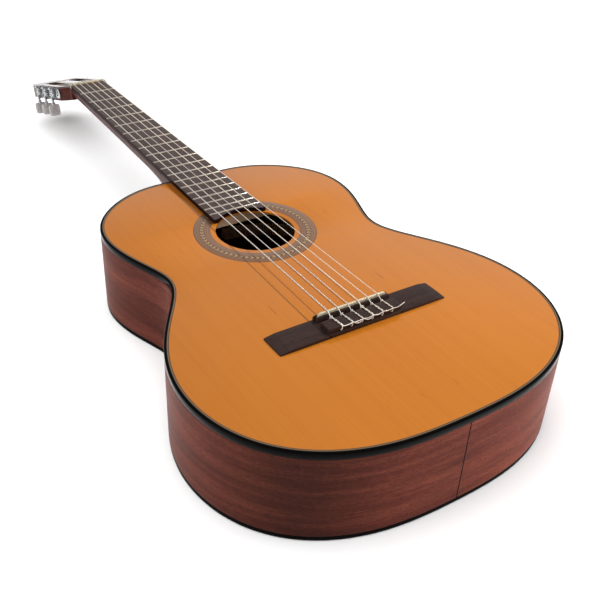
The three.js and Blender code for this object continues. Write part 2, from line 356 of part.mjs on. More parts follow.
// ---------------------------------------------------------------- tuners (head frame)
const xPlate = HEAD_HALF + 0.1, xGear = xPlate + PLATE_T + 3.35;     // plate inner face, gear middle plane
const shaftX = xGear;
const wormS = ROLLER_S.map(s => s + CENTRES);      // each worm sits on the crown side of its gear
const BUTTON_IN = -25.5;
for (const [side, sx] of [['bass', -1], ['treble', 1]]) {
  // plate with scalloped ends, bearing lugs for the worm shafts, clearance holes for the rollers
  const s0 = 20.5, s1 = 126, top = -2.2, bot = -17.4;
  const pl = [[s0, top - 3.5], [s0 + 1.6, top - 1.2], [s0 + 5, top], [s1 - 5, top], [s1 - 1.6, top - 1.2], [s1, top - 3.5], [s1 + 1.5, (top + bot) / 2], [s1, bot + 3.5], [s1 - 1.6, bot + 1.2], [s1 - 5, bot], [s0 + 5, bot], [s0 + 1.6, bot + 1.2], [s0, bot + 3.5], [s0 - 1.5, (top + bot) / 2]];
  let plate = solid(prism(pl, xPlate, xPlate + PLATE_T, (u, v, x) => [sx * x, u, v]));
  for (let i = 0; i < 3; i++) {
    const sw = wormS[i];
    for (const h of [-ROLLER_DEPTH + 6.2, -ROLLER_DEPTH - 7.8]) {
      const x0 = xPlate + PLATE_T - 0.3, x1 = shaftX + 3.6;
      const lug = solid(box(Math.min(sx * x0, sx * x1), Math.max(sx * x0, sx * x1), sw - 3.4, sw + 3.4, h - 1.0, h + 0.8));
      plate = plate.add(lug);
    }
    plate = plate.subtract(solid(rod(1.6 + 0.35, [sx * shaftX, sw, -ROLLER_DEPTH - 12], [sx * shaftX, sw, 3], 10)));
    plate = plate.subtract(solid(rod(JOURNAL_R + JOURNAL_CLEAR, [sx * 30, ROLLER_S[i], -ROLLER_DEPTH], [sx * 50, ROLLER_S[i], -ROLLER_DEPTH], 12)));
  }
  add(`tuner_plate_${side}`, fromSolid(plate), M.nickel, head);

  for (let i = 0; i < 3; i++) {
    const sr = ROLLER_S[i], sw = wormS[i], id = `${side}_${i + 1}`;
    // roller with its journals and gear wheel
    const X = x => sx * x;
    const lathe = [[3.6, 0], [3.6, JOURNAL_R], [SLOT_IN + 0.5, JOURNAL_R], [SLOT_IN + 0.5, ROLLER_R], [SLOT_OUT - 0.5, ROLLER_R], [SLOT_OUT - 0.5, JOURNAL_R], [xGear - GEAR_W / 2 - 0.4, JOURNAL_R]];
    const n = 12, rings = [];
    for (const [x, r] of lathe) if (r > 0) rings.push(Array.from({ length: n }, (_, k) => { const t = k * 2 * Math.PI / n; return [X(x), sr + r * Math.cos(t), -ROLLER_DEPTH + r * Math.sin(t)]; }));
    rings.push(Array.from({ length: n }, (_, k) => { const t = k * 2 * Math.PI / n; return [X(xGear), sr + JOURNAL_R * Math.cos(t), -ROLLER_DEPTH + JOURNAL_R * Math.sin(t)]; }));
    let roller = solid(loft(rings));
    const tooth = [];
    for (let k = 0; k < TEETH; k++) {
      const c = (k + 0.5) * 2 * Math.PI / TEETH, st = 2 * Math.PI / TEETH;      // a gap faces the worm at rest
      for (const [r, d] of [[GEAR_ROOT, -0.27], [GEAR_OUT, -0.115], [GEAR_OUT, 0.115], [GEAR_ROOT, 0.27]]) { const t = Math.PI + c + d * st; tooth.push([r * Math.cos(t), r * Math.sin(t)]); }
    }
    roller = roller.add(solid(prism(tooth, xGear - GEAR_W / 2, xGear + GEAR_W / 2, (u, v, x) => [X(x), sr + u, -ROLLER_DEPTH + v])));
    roller = roller.add(solid(rod(2.2, [X(xGear), sr, -ROLLER_DEPTH], [X(xGear + GEAR_W / 2 + 1.3), sr, -ROLLER_DEPTH], 10)));
    add(`string_roller_${id}`, fromSolid(roller), M.brass, head);

    // worm shaft: threaded middle, plain bearings, square end inside the button
    const na = 8, ringsW = [], dz = LEAD / 5;
    const ring = (z, f) => Array.from({ length: na }, (_, k) => { const t = k * 2 * Math.PI / na, r = f(t, z); return [X(shaftX) + r * Math.cos(t), sw + r * Math.sin(t), z]; });
    const plain = r => () => r;
    const zc = -ROLLER_DEPTH, steps = Math.round(WORM_LEN / dz);
    const zTop = zc + steps * dz / 2;
    ringsW.push(ring(zc + 8.2, plain(1.6)), ring(zTop + 0.35, plain(1.6)), ring(zTop + 0.3, plain(WORM_ROOT)));
    for (let k = 0; k <= steps; k++) {
      const z = zTop - k * dz;
      ringsW.push(ring(z, (t, zz) => {
        // crest phase 0 on the gear's centre plane, facing the gear (t = -90 degrees)
        let p = (zz - zc) / LEAD - sx * (t + Math.PI / 2) / (2 * Math.PI); p -= Math.floor(p);
        const d = Math.min(p, 1 - p);
        const h = d < 0.1 ? 1 : d < 0.25 ? 1 - (d - 0.1) / 0.15 : 0;
        const end = Math.min(1, (zTop - zz) / LEAD * 2, (zz - (zTop - steps * dz)) / LEAD * 2);
        return WORM_ROOT + (WORM_OUT - WORM_ROOT) * h * Math.max(0, end);
      }));
    }
    ringsW.push(ring(zTop - steps * dz - 0.3, plain(WORM_ROOT)), ring(zTop - steps * dz - 0.35, plain(1.6)), ring(BUTTON_IN + 0.35, plain(1.6)), ring(BUTTON_IN + 0.3, plain(1.5)), ring(BUTTON_IN - 9, plain(1.5)));
    add(`worm_shaft_${id}`, loft(ringsW), M.nickel, head);

    // button: oblong pearloid grip, thicker in the middle, bored for the shaft
    const nb = 12, prof = [[0, 5.6, 3.0], [-1.4, 7.4, 3.8], [-5, 8.0, 4.3], [-12.5, 8.0, 4.2], [-15.6, 6.8, 3.3], [-16.5, 4.8, 2.2]];
    const sq = (c, e) => Math.sign(c) * Math.pow(Math.abs(c), e);
    let btn = solid(loft(prof.map(([dz2, a, b]) => Array.from({ length: nb }, (_, k) => { const t = k * 2 * Math.PI / nb; return [X(shaftX) + a * sq(Math.cos(t), 0.8), sw + b * sq(Math.sin(t), 0.8), BUTTON_IN + dz2]; }))));
    btn = btn.subtract(solid(rod(1.8, [X(shaftX), sw, BUTTON_IN + 1], [X(shaftX), sw, BUTTON_IN - 9.3], 10)));
    add(`tuner_button_${id}`, fromSolid(btn), M.pearl, head);
  }
}

// ---------------------------------------------------------------- strings
// Each string is one tube: knot and loop on the tie block, over the saddle, over the nut and round its roller.
function tube(points, r, n = 6) {
  const P = points.map(p => V(...p)), rings = [];
  let u = null;
  for (let i = 0; i < P.length; i++) {
    const a = P[Math.max(i - 1, 0)], b = P[Math.min(i + 1, P.length - 1)];
    const d = b.clone().sub(a).normalize();
    const d0 = i > 0 ? P[i].clone().sub(P[i - 1]).normalize() : d, d1 = i < P.length - 1 ? P[i + 1].clone().sub(P[i]).normalize() : d;
    if (!u) u = (Math.abs(d.x) > 0.8 ? V(0, 0, 1) : V(1, 0, 0));
    u = u.clone().addScaledVector(d, -u.dot(d)).normalize();
    const v = d.clone().cross(u);
    const k = 1 / Math.max(0.75, Math.sqrt((1 + d0.dot(d1)) / 2));
    rings.push(Array.from({ length: n }, (_, j) => { const t = j * 2 * Math.PI / n; const q = P[i].clone().addScaledVector(u, r * k * Math.cos(t)).addScaledVector(v, r * k * Math.sin(t)); return [q.x, q.y, q.z]; }));
  }
  return loft(rings);
}
const toGuitar = (x, s, h) => { const p = V(x, s, h).applyMatrix4(headToGuitar); return [p.x, p.y, p.z]; };
const SLOT_FOR = [[-1, 0, 20.5], [-1, 1, 16.0], [-1, 2, 17.2], [1, 2, 17.2], [1, 1, 16.0], [1, 0, 20.5]];   // side, roller, winding start x
for (let i = 0; i < 6; i++) {
  const r = STRING_D[i] / 2, x0 = -SADDLE_SPREAD / 2 + SADDLE_SPREAD * i / 5, xn = -NUT_SPREAD / 2 + NUT_SPREAD * i / 5;
  const sad = -SCALE - COMPENSATION, g = 0.25;
  const [sx, ri, xw] = SLOT_FOR[i], dir = i < 3 ? 1 : -1;
  // free end on the back edge of the bridge, over the tie block, saddle and nut
  const run = [];
  run.push([x0 + 6.5, BRIDGE_BACK - r - g - 0.5, 3.2], [x0 + 3.2, BRIDGE_BACK - r - g - 0.5, 5.6], [x0 + 1.4, TIE_BACK - r - g - 0.9, TIE_TOP - 0.2], [x0 + 0.9, TIE_BACK + 0.9, TIE_TOP + r + g], [x0 + 0.3, TIE_FRONT - 0.4, TIE_TOP + r + g + 0.05],
    [x0, sad - SADDLE_T / 4 - 0.5, SADDLE_TOP + r + 0.06 - 0.05], [x0, sad + SADDLE_T / 4 + 0.2, SADDLE_TOP + r + 0.08]);
  run.push([xn, 1.4, NUT_TOP + r + 0.08], [xn, 4.0, NUT_TOP + r - 0.02]);
  // head part: from the nut to the roller and four half turns round it
  const na = 8, wr = (ROLLER_R + r + 0.25) / Math.cos(Math.PI / na), sr = ROLLER_S[ri];
  const ax = sx * xw;
  const turns = 2, N = Math.round(turns * na);
  const start = Math.PI / 2;                         // top of the roller
  for (let k = 0; k <= N; k++) {
    const t = start - k * 2 * Math.PI / na;
    const x = ax + (sx * (ri === 2 ? 1 : -1)) * (k / na) * (2 * r + 0.12) * (ri === 0 ? 1 : 1);
    run.push(toGuitar(x, sr + wr * Math.cos(t), -ROLLER_DEPTH + wr * Math.sin(t)));
  }
  add(`string_${6 - i}`, tube(run, r, 5), i < 3 ? M.silver : M.nylon);
}

export default guitar;
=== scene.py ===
import bpy, bmesh, math
import numpy as np
from mathutils import Matrix, Vector


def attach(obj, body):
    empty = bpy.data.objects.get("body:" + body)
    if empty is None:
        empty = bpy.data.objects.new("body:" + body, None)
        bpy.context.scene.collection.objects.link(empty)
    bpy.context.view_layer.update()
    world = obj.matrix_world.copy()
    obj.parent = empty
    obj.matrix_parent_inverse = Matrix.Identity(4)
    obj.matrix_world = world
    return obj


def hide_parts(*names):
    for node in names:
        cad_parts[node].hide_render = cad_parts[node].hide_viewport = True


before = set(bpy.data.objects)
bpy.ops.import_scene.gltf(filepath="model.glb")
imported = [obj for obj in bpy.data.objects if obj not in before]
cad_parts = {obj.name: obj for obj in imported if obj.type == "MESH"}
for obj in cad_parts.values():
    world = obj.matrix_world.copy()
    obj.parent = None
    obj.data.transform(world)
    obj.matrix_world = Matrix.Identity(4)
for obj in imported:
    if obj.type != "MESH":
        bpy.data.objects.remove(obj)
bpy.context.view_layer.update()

# ------------------------------------------------------------------ frame of the guitar, in mm
# x to the treble side, y = 0 at the front of the nut, z = 0 on the soundboard's face
YO, ZO = 326.785, 97.0
DEPTH = 97.0
TOP_T, BACK_T = 2.2, 2.5
BIND_W, BIND_H, BACK_BIND_H, PURF_W = 2.5, 6.5, 5.0, 2.0
SH_Y, SH_R = -476.5, 42.3
R_IN, R_OUT = 47.8, 66.0
FB_TOP, FB_NUT, FB_12, SCALE = 5.2, 25.0, 30.2, 650.0
NUT_TOP = 7.0
SADDLE_Y = -652.7
SADDLE_TOP, SADDLE_T, SADDLE_HALF = 11.6, 2.6, 38.3
BR_HALF, BR_BLOCK, BR_F, BR_B = 92.5, 41.0, -648.5, -677.5
TIE_F, TIE_B, TIE_TOP = -661.7, -675.6, 8.6
HA = math.radians(16.58)
HEAD_Y, HEAD_Z = 4.0, 3.5
HEAD_LEN, HEAD_CROWN, HEAD_HALF, HEAD_T, VENEER = 157.0, 12.0, 35.8, 20.0, 2.5
SLOT_IN, SLOT_OUT, SLOT_NEAR, SLOT_FAR = 9.7, 27.4, 18.5, 122.0
ROLL_S = [39.0, 74.0, 109.0]
ROLL_D = 8.5
XG = 40.45
OUT = [204.738, -24.102, 57.065, 15.259, -17.526, -5.701, -4.034, -0.228, 0.889, 0.85, -0.301, -0.787, -0.598, -0.218, -0.12, 0.043]
OUT_Y = -560.0
STRING_D = [1.08, 0.89, 0.76, 1.02, 0.82, 0.72]


def fb_half(y):
    return FB_NUT + (FB_12 - FB_NUT) * (-y) / 325.0


def fret_y(k):
    return -SCALE * (1 - 2 ** (-k / 12))


def to_m(P):
    P = np.asarray(P, float).reshape(-1, 3)
    return np.stack([P[:, 0], P[:, 1] + YO, P[:, 2] + ZO], 1) / 1000.0


def head(P):
    P = np.asarray(P, float).reshape(-1, 3)
    x, s, h = P[:, 0], P[:, 1], P[:, 2]
    return np.stack([x, HEAD_Y + s * math.cos(HA) + h * math.sin(HA), HEAD_Z - s * math.sin(HA) + h * math.cos(HA)], 1)


# ------------------------------------------------------------------ body outline
def out_pt(t, inset):
    t = np.asarray(t, float)

    def f(s):
        r = sum(c * np.cos(k * s) for k, c in enumerate(OUT))
        return r * np.sin(s), r * np.cos(s) + OUT_Y
    x, y = f(t)
    xa, ya = f(t - 1e-4)
    xb, yb = f(t + 1e-4)
    tx, ty = xb - xa, yb - ya
    l = np.hypot(tx, ty)
    off = BIND_W + PURF_W - inset
    return x - ty / l * off, y + tx / l * off


def arc_params(t0, n):
    ts = np.linspace(t0, math.pi, 4000)
    x, y = out_pt(ts, 0)
    s = np.concatenate([[0], np.cumsum(np.hypot(np.diff(x), np.diff(y)))])
    return np.interp(np.linspace(0, s[-1], n + 1), s, ts), s[-1]


def t_at_x(x0):
    a, b = 0.0, 0.5
    for _ in range(50):
        m = (a + b) / 2
        if out_pt(m, 0)[0] < x0:
            a = m
        else:
            b = m
    return a


T_NECK = t_at_x(30.9)
NSEG = 170


def full_outline(inset, n=NSEG):
    ts, _ = arc_params(0.0, n)
    x, y = out_pt(ts, inset)
    x[0] = 0
    x[-1] = 0
    return [(float(a), float(b)) for a, b in zip(x, y)] + [(-float(a), float(b)) for a, b in zip(x[1:-1][::-1], y[1:-1][::-1])]


# ------------------------------------------------------------------ mesh helpers
COLL = bpy.context.scene.collection


def obj_from(name, verts, faces, mat=None, body="root", angle=35, uv=None, replaces=(), smooth=True):
    me = bpy.data.meshes.new(name)
    me.from_pydata([tuple(map(float, v)) for v in verts], [], [tuple(int(i) for i in f) for f in faces])
    me.update()
    if uv is not None:
        lay = me.uv_layers.new(name="UVMap")
        idx = np.zeros(len(me.loops), np.int32)
        me.loops.foreach_get("vertex_index", idx)
        arr = np.asarray(uv, float)[idx] if len(uv) == len(me.vertices) else np.asarray(uv, float)
        lay.data.foreach_set("uv", arr.astype(np.float32).ravel())
    ob = bpy.data.objects.new(name, me)
    COLL.objects.link(ob)
    return finish_obj(ob, mat, body, angle, replaces, smooth)


def finish_obj(ob, mat=None, body="root", angle=35, replaces=(), smooth=True):
    me = ob.data
    bm = bmesh.new()
    bm.from_mesh(me)
    bmesh.ops.remove_doubles(bm, verts=bm.verts, dist=1e-6)
    bmesh.ops.recalc_face_normals(bm, faces=bm.faces)
    vol = bm.calc_volume(signed=True)
    if vol < 0:
        bmesh.ops.reverse_faces(bm, faces=bm.faces)
    bm.to_mesh(me)
    bm.free()
    if smooth:
        me.shade_smooth()
        me.set_sharp_from_angle(angle=math.radians(angle))
    if mat is not None:
        me.materials.clear()
        me.materials.append(mat)
    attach(ob, body)
    if replaces:
        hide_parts(*replaces)
    return ob


def loft(rings, closed=False, cap=True):
    """rings: m x n x 3 -> verts, faces"""
    R = np.asarray(rings, float)
    m, n = R.shape[:2]
    V = R.reshape(-1, 3)
    F = []
    for r in range(m if closed else m - 1):
        a, b = r * n, ((r + 1) % m) * n
        for i in range(n):
            j = (i + 1) % n
            F.append((a + i, a + j, b + j, b + i))
    if not closed and cap:
        F.append(tuple(range(n))[::-1])
        F.append(tuple(range((m - 1) * n, m * n)))
    return V, F


def tube(points, r, n=10, flat=None):
    P = np.asarray(points, float)
    m = len(P)
    D = np.zeros_like(P)
    D[1:-1] = P[2:] - P[:-2]
    D[0] = P[1] - P[0]
    D[-1] = P[-1] - P[-2]
    D /= np.linalg.norm(D, axis=1)[:, None]
    u = np.array([0, 0, 1.0]) if abs(D[0][2]) < 0.8 else np.array([1.0, 0, 0])
    rr = np.full(m, r) if np.isscalar(r) else np.asarray(r)
    rings = []
    for i in range(m):
        u = u - D[i] * np.dot(u, D[i])
        u /= np.linalg.norm(u)
        v = np.cross(D[i], u)
        t = np.arange(n) * 2 * math.pi / n
        rings.append(P[i] + rr[i] * (np.cos(t)[:, None] * u + np.sin(t)[:, None] * v))
    return rings


def catmull(P, k=8):
    P = np.asarray(P, float)
    out = []
    m = len(P)
    for i in range(m - 1):
        p0, p1, p2, p3 = P[max(i - 1, 0)], P[i], P[i + 1], P[min(i + 2, m - 1)]
        for j in range(k):
            t = j / k
            out.append(0.5 * ((2 * p1) + (-p0 + p2) * t + (2 * p0 - 5 * p1 + 4 * p2 - p3) * t * t + (-p0 + 3 * p1 - 3 * p2 + p3) * t ** 3))
    out.append(P[-1])
    return np.array(out)


def curve_plate(name, loops, z0, z1, bevel, place=None, res=2):
    """flat plate from 2-D loops (first the outline, then its holes), with rounded edges; mm in, metres out"""
    cu = bpy.data.curves.new(name + "_c", "CURVE")
    cu.dimensions = "2D"
    cu.fill_mode = "BOTH"
    for lp in loops:
        sp = cu.splines.new("POLY")
        sp.points.add(len(lp) - 1)
        for p, q in zip(sp.points, lp):
            p.co = (q[0] / 10.0, q[1] / 10.0, 0, 1)
        sp.use_cyclic_u = True
    th = (z1 - z0) / 10.0
    cu.bevel_depth = bevel / 10.0
    cu.bevel_resolution = res
    cu.extrude = max(th / 2 - bevel / 10.0, 0.0)
    cu.offset = -bevel / 10.0
    tmp = bpy.data.objects.new(name + "_t", cu)
    COLL.objects.link(tmp)
    bpy.context.view_layer.update()
    dg = bpy.context.evaluated_depsgraph_get()
    me = bpy.data.meshes.new_from_object(tmp.evaluated_get(dg))
    me.name = name
    bpy.data.objects.remove(tmp)
    bpy.data.curves.remove(cu)
    co = np.zeros(len(me.vertices) * 3)
    me.vertices.foreach_get("co", co)
    co = co.reshape(-1, 3) * 10.0
    co[:, 2] += (z0 + z1) / 2
    if place is not None:
        co = place(co)
    co = to_m(co)
    me.vertices.foreach_set("co", co.astype(np.float32).ravel())
    me.update()
    while len(me.materials):
        me.materials.pop()
    ob = bpy.data.objects.new(name, me)
    COLL.objects.link(ob)
    bm = bmesh.new()
    bm.from_mesh(me)
    bmesh.ops.remove_doubles(bm, verts=bm.verts, dist=2e-7)
    bm.to_mesh(me)
    bm.free()
    return ob


def boolean(ob, cutters, op="DIFFERENCE"):
    for c in cutters:
        md = ob.modifiers.new("b", "BOOLEAN")
        md.operation = op
        md.solver = "EXACT"
        md.object = c
    bpy.context.view_layer.update()
    dg = bpy.context.evaluated_depsgraph_get()
    me = bpy.data.meshes.new_from_object(ob.evaluated_get(dg))
    ob.modifiers.clear()
    old = ob.data
    ob.data = me
    bpy.data.meshes.remove(old)
    for c in cutters:
        d = c.data
        bpy.data.objects.remove(c)
        bpy.data.meshes.remove(d)
    return ob


def raw(name, V, F):
    me = bpy.data.meshes.new(name)
    me.from_pydata([tuple(map(float, v)) for v in V], [], [tuple(int(i) for i in f) for f in F])
    bm = bmesh.new()
    bm.from_mesh(me)
    bmesh.ops.recalc_face_normals(bm, faces=bm.faces)
    if bm.calc_volume(signed=True) < 0:
        bmesh.ops.reverse_faces(bm, faces=bm.faces)
    bm.to_mesh(me)
    bm.free()
    ob = bpy.data.objects.new(name, me)
    COLL.objects.link(ob)
    return ob


def bevel(ob, w, seg=3, angle=40):
    md = ob.modifiers.new("v", "BEVEL")
    md.width = w / 1000.0
    md.segments = seg
    md.limit_method = "ANGLE"
    md.angle_limit = math.radians(angle)
    md.harden_normals = False
    bpy.context.view_layer.update()
    dg = bpy.context.evaluated_depsgraph_get()
    me = bpy.data.meshes.new_from_object(ob.evaluated_get(dg))
    ob.modifiers.clear()
    old = ob.data
    ob.data = me
    bpy.data.meshes.remove(old)
    return ob


def rod_rings(r, a, b, n=24):
    A, B = np.array(a, float), np.array(b, float)
    return tube(np.array([A, B]), r, n)


def lathe(axis_pts, n, place):
    """axis_pts: list of (w, r): rings around an axis; place(u, v, w) -> xyz rows"""
    rings = []
    t = np.arange(n) * 2 * math.pi / n
    for w, r in axis_pts:
        rings.append(place(r * np.cos(t), r * np.sin(t), np.full(n, w)))
    return loft(rings)


# ------------------------------------------------------------------ materials
def new_mat(name):
    m = bpy.data.materials.new(name)
    m.use_nodes = True
    nt = m.node_tree
    b = nt.nodes["Principled BSDF"]
    return m, nt, b


def node(nt, kind, **kw):
    n = nt.nodes.new(kind)
    for k, v in kw.items():
        if k.startswith("i_"):
            key = k[2:]
            key = int(key) if key.isdigit() else key
            n.inputs[key].default_value = v
        else:
            setattr(n, k, v)
    return n


def mapping(nt, src, scale, loc=(0, 0, 0), rot=(0, 0, 0)):
    mp = node(nt, "ShaderNodeMapping")
    mp.inputs["Scale"].default_value = scale
    mp.inputs["Location"].default_value = loc
    mp.inputs["Rotation"].default_value = rot
    nt.links.new(src, mp.inputs["Vector"])
    return mp.outputs["Vector"]


def noise(nt, vec, scale=1.0, detail=4.0, rough=0.55, dist=0.0):
    n = node(nt, "ShaderNodeTexNoise")
    n.inputs["Scale"].default_value = scale
    n.inputs["Detail"].default_value = detail
    n.inputs["Roughness"].default_value = rough
    n.inputs["Distortion"].default_value = dist
    nt.links.new(vec, n.inputs["Vector"])
    return n.outputs["Fac"]


def ramp(nt, fac, stops, interp="LINEAR"):
    r = node(nt, "ShaderNodeValToRGB")
    r.color_ramp.interpolation = interp
    el = r.color_ramp.elements
    while len(el) > 1:
        el.remove(el[-1])
    el[0].position = stops[0][0]
    el[0].color = (*stops[0][1], 1) if not np.isscalar(stops[0][1]) else (stops[0][1],) * 3 + (1,)
    for p, c in stops[1:]:
        e = el.new(p)
        e.color = (*c, 1) if not np.isscalar(c) else (c, c, c, 1)
    nt.links.new(fac, r.inputs["Fac"])
    return r.outputs["Color"]


def mix(nt, fac, a, b, mode="MIX"):
    m = node(nt, "ShaderNodeMix", data_type="RGBA", blend_type=mode)
    for sock, v in ((m.inputs["Factor"], fac), (m.inputs["A"], a), (m.inputs["B"], b)):
        pass
    fi = [s for s in m.inputs if s.name == "Factor" and s.type == "VALUE"][0]
    ai = [s for s in m.inputs if s.name == "A" and s.type == "RGBA"][0]
    bi = [s for s in m.inputs if s.name == "B" and s.type == "RGBA"][0]
    for sock, v in ((fi, fac), (ai, a), (bi, b)):
        if hasattr(v, "is_linked") or isinstance(v, bpy.types.NodeSocket):
            nt.links.new(v, sock)
        elif np.isscalar(v):
            sock.default_value = v if sock.type == "VALUE" else (v, v, v, 1)
        else:
            sock.default_value = (*v, 1)
    return [s for s in m.outputs if s.type == "RGBA"][0]


def math_n(nt, op, a, b=None, c=None):
    m = node(nt, "ShaderNodeMath", operation=op)
    for i, v in enumerate((a, b, c)):
        if v is None:
            continue
        if isinstance(v, bpy.types.NodeSocket):
            nt.links.new(v, m.inputs[i])
        else:
            m.inputs[i].default_value = v
    return m.outputs[0]


def bump(nt, bsdf, height, strength=0.2, dist=0.0002):
    b = node(nt, "ShaderNodeBump")
    b.inputs["Strength"].default_value = strength
    b.inputs["Distance"].default_value = dist
    nt.links.new(height, b.inputs["Height"])
    nt.links.new(b.outputs["Normal"], bsdf.inputs["Normal"])
    return b


def sep(nt, vec):
    s = node(nt, "ShaderNodeSeparateXYZ")
    nt.links.new(vec, s.inputs[0])
    return s.outputs


def comb(nt, x, y, z):
    c = node(nt, "ShaderNodeCombineXYZ")
    for i, v in enumerate((x, y, z)):
        if isinstance(v, bpy.types.NodeSocket):
            nt.links.new(v, c.inputs[i])
        else:
            c.inputs[i].default_value = v
    return c.outputs[0]


def coords(nt, kind="Object"):
    return node(nt, "ShaderNodeTexCoord").outputs[kind]


def wood(name, cols, across=(500, 8, 500), broad=(14, 2.2, 14), pores=None, rough=(0.3, 0.42), coat=0.0, coat_rough=0.05,
         mirror=False, fleck=None, bump_s=0.15, uv=False, grain_mix=0.55, broad_mix=0.5, spec=0.5, figure=None, speck=None):
    """wood with its grain along Y (or along U of the UV map): fine streaks, broad colour bands, pores and flecks"""
    m, nt, b = new_mat(name)
    vec = coords(nt, "UV" if uv else "Object")
    if mirror:
        x, y, z = sep(nt, vec)
        vec = comb(nt, math_n(nt, "ABSOLUTE", x), y, z)
    fine = noise(nt, mapping(nt, vec, across), 1.0, 5.0, 0.62)
    mid = noise(nt, mapping(nt, vec, tuple(a * 0.22 for a in across), loc=(3.1, 0.7, 1.9)), 1.0, 4.0, 0.6)
    wide = noise(nt, mapping(nt, vec, broad, loc=(1.7, 5.3, 2.2)), 1.0, 3.0, 0.5, 0.6)
    c_fine = ramp(nt, fine, [(0.30, cols[0]), (0.5, cols[1]), (0.72, cols[2])])
    c_mid = ramp(nt, mid, [(0.32, cols[0]), (0.5, cols[1]), (0.68, cols[2])])
    c = mix(nt, grain_mix, c_mid, c_fine)
    c_w = ramp(nt, wide, [(0.33, cols[3]), (0.66, cols[4])])
    c = mix(nt, broad_mix, c, c_w, "MULTIPLY") if cols[5] == "mul" else mix(nt, broad_mix, c, c_w)
    h = fine
    if figure:
        fg = noise(nt, mapping(nt, vec, figure[0], loc=(9.0, 2.0, 4.0)), 1.0, 3.0, 0.6, figure[3] if len(figure) > 3 else 0.8)
        c = mix(nt, ramp(nt, fg, [(figure[1][0], 0.0), (figure[1][1], 1.0)]), c, figure[2], "MULTIPLY")
    if pores:
        pn = noise(nt, mapping(nt, vec, pores[0]), 1.0, 2.0, 0.5)
        pf = ramp(nt, pn, [(pores[1], 1.0), (pores[1] + 0.07, 0.0)])
        c = mix(nt, math_n(nt, "MULTIPLY", pf, pores[3] if len(pores) > 3 else 0.75), c, pores[2])
        h = math_n(nt, "SUBTRACT", fine, pf)
    if speck:
        sn = noise(nt, mapping(nt, vec, speck[0], loc=(5.0, 8.0, 1.0)), 1.0, 3.0, 0.7)
        c = mix(nt, speck[3] if len(speck) > 3 else 1.0, c, ramp(nt, sn, [(0.36, speck[1]), (0.5, (1.0, 1.0, 1.0)), (0.64, speck[2])]), "MULTIPLY")
    if fleck:
        fn = noise(nt, mapping(nt, vec, fleck[0], loc=(4, 1, 7)), 1.0, 1.0, 0.4)
        ff = ramp(nt, fn, [(fleck[1], 0.0), (fleck[1] + 0.04, 1.0)])
        c = mix(nt, math_n(nt, "MULTIPLY", ff, fleck[3] if len(fleck) > 3 else 0.6), c, fleck[2])
    nt.links.new(c, b.inputs["Base Color"])
    r = ramp(nt, mid, [(0.3, rough[0]), (0.7, rough[1])])
    nt.links.new(r, b.inputs["Roughness"])
    b.inputs["Specular IOR Level"].default_value = spec
    if coat:
        b.inputs["Coat Weight"].default_value = coat
        b.inputs["Coat Roughness"].default_value = coat_rough
        b.inputs["Coat IOR"].default_value = 1.5
    bump(nt, b, h, bump_s, 0.00012)
    return m


def plain(name, color, rough, metal=0.0, coat=0.0, coat_rough=0.05, vary=0.08, scale=60, bump_s=0.04, spec=0.5, sss=0.0, rough_vary=0.06):
    m, nt, b = new_mat(name)
    vec = coords(nt)
    n = noise(nt, mapping(nt, vec, (scale, scale, scale)), 1.0, 5.0, 0.6)
    lo = tuple(max(0, c * (1 - vary)) for c in color)
    hi = tuple(min(1, c * (1 + vary)) for c in color)
    nt.links.new(ramp(nt, n, [(0.3, lo), (0.7, hi)]), b.inputs["Base Color"])
    n2 = noise(nt, mapping(nt, vec, (scale * 7, scale * 7, scale * 7)), 1.0, 4.0, 0.6)
    nt.links.new(ramp(nt, n2, [(0.3, max(0.02, rough - rough_vary)), (0.7, rough + rough_vary)]), b.inputs["Roughness"])
    b.inputs["Metallic"].default_value = metal
    b.inputs["Specular IOR Level"].default_value = spec
    if coat:
        b.inputs["Coat Weight"].default_value = coat
        b.inputs["Coat Roughness"].default_value = coat_rough
    if sss:
        b.inputs["Subsurface Weight"].default_value = sss
        b.inputs["Subsurface Radius"].default_value = (0.002, 0.0015, 0.001)
        b.inputs["Subsurface Scale"].default_value = 1.0
    bump(nt, b, n2, bump_s, 0.0001)
    return m


CEDAR = wood("cedar_top", [(0.520, 0.158, 0.0112), (0.545, 0.172, 0.0130), (0.570, 0.186, 0.0152), (0.94, 0.92, 0.88), (1.0, 1.0, 1.0), "mul"],
             across=(820, 6, 820), broad=(22, 2.0, 22), rough=(0.42, 0.50), coat=1.0, coat_rough=0.02, mirror=True, spec=0.05,
             fleck=((300, 30, 300), 0.765, (0.26, 0.070, 0.008), 0.45), bump_s=0.03, grain_mix=0.5, broad_mix=0.7)
SIDE_COLS = [(0.052, 0.0110, 0.0064), (0.092, 0.0210, 0.0118), (0.150, 0.0385, 0.0210), (0.55, 0.49, 0.47), (1.0, 1.0, 1.0), "mul"]
SIDES = wood("mahogany_side", SIDE_COLS, across=(95, 1100, 1), broad=(3.0, 34, 1), pores=((170, 2600, 1), 0.38, (0.030, 0.008, 0.006), 0.6),
             rough=(0.42, 0.55), coat=0.11, coat_rough=0.08, uv=True, bump_s=0.12, broad_mix=0.9, spec=0.02,
             figure=((4.5, 78, 1), (0.40, 0.62), (0.66, 0.58, 0.57), 0.4), speck=((260, 1500, 1), (0.62, 0.58, 0.58), (1.35, 1.38, 1.40), 0.8))
BACKM = wood("mahogany_back", SIDE_COLS, across=(1100, 60, 1100), broad=(26, 2.4, 26), pores=((2400, 130, 2400), 0.38, (0.030, 0.008, 0.006), 0.6),
             rough=(0.42, 0.55), coat=0.4, coat_rough=0.08, mirror=True, bump_s=0.10, broad_mix=0.8, spec=0.06,
             figure=((60, 4.0, 60), (0.40, 0.62), (0.66, 0.58, 0.57), 0.4), speck=((1400, 240, 1400), (0.65, 0.60, 0.60), (1.3, 1.33, 1.35), 0.8))
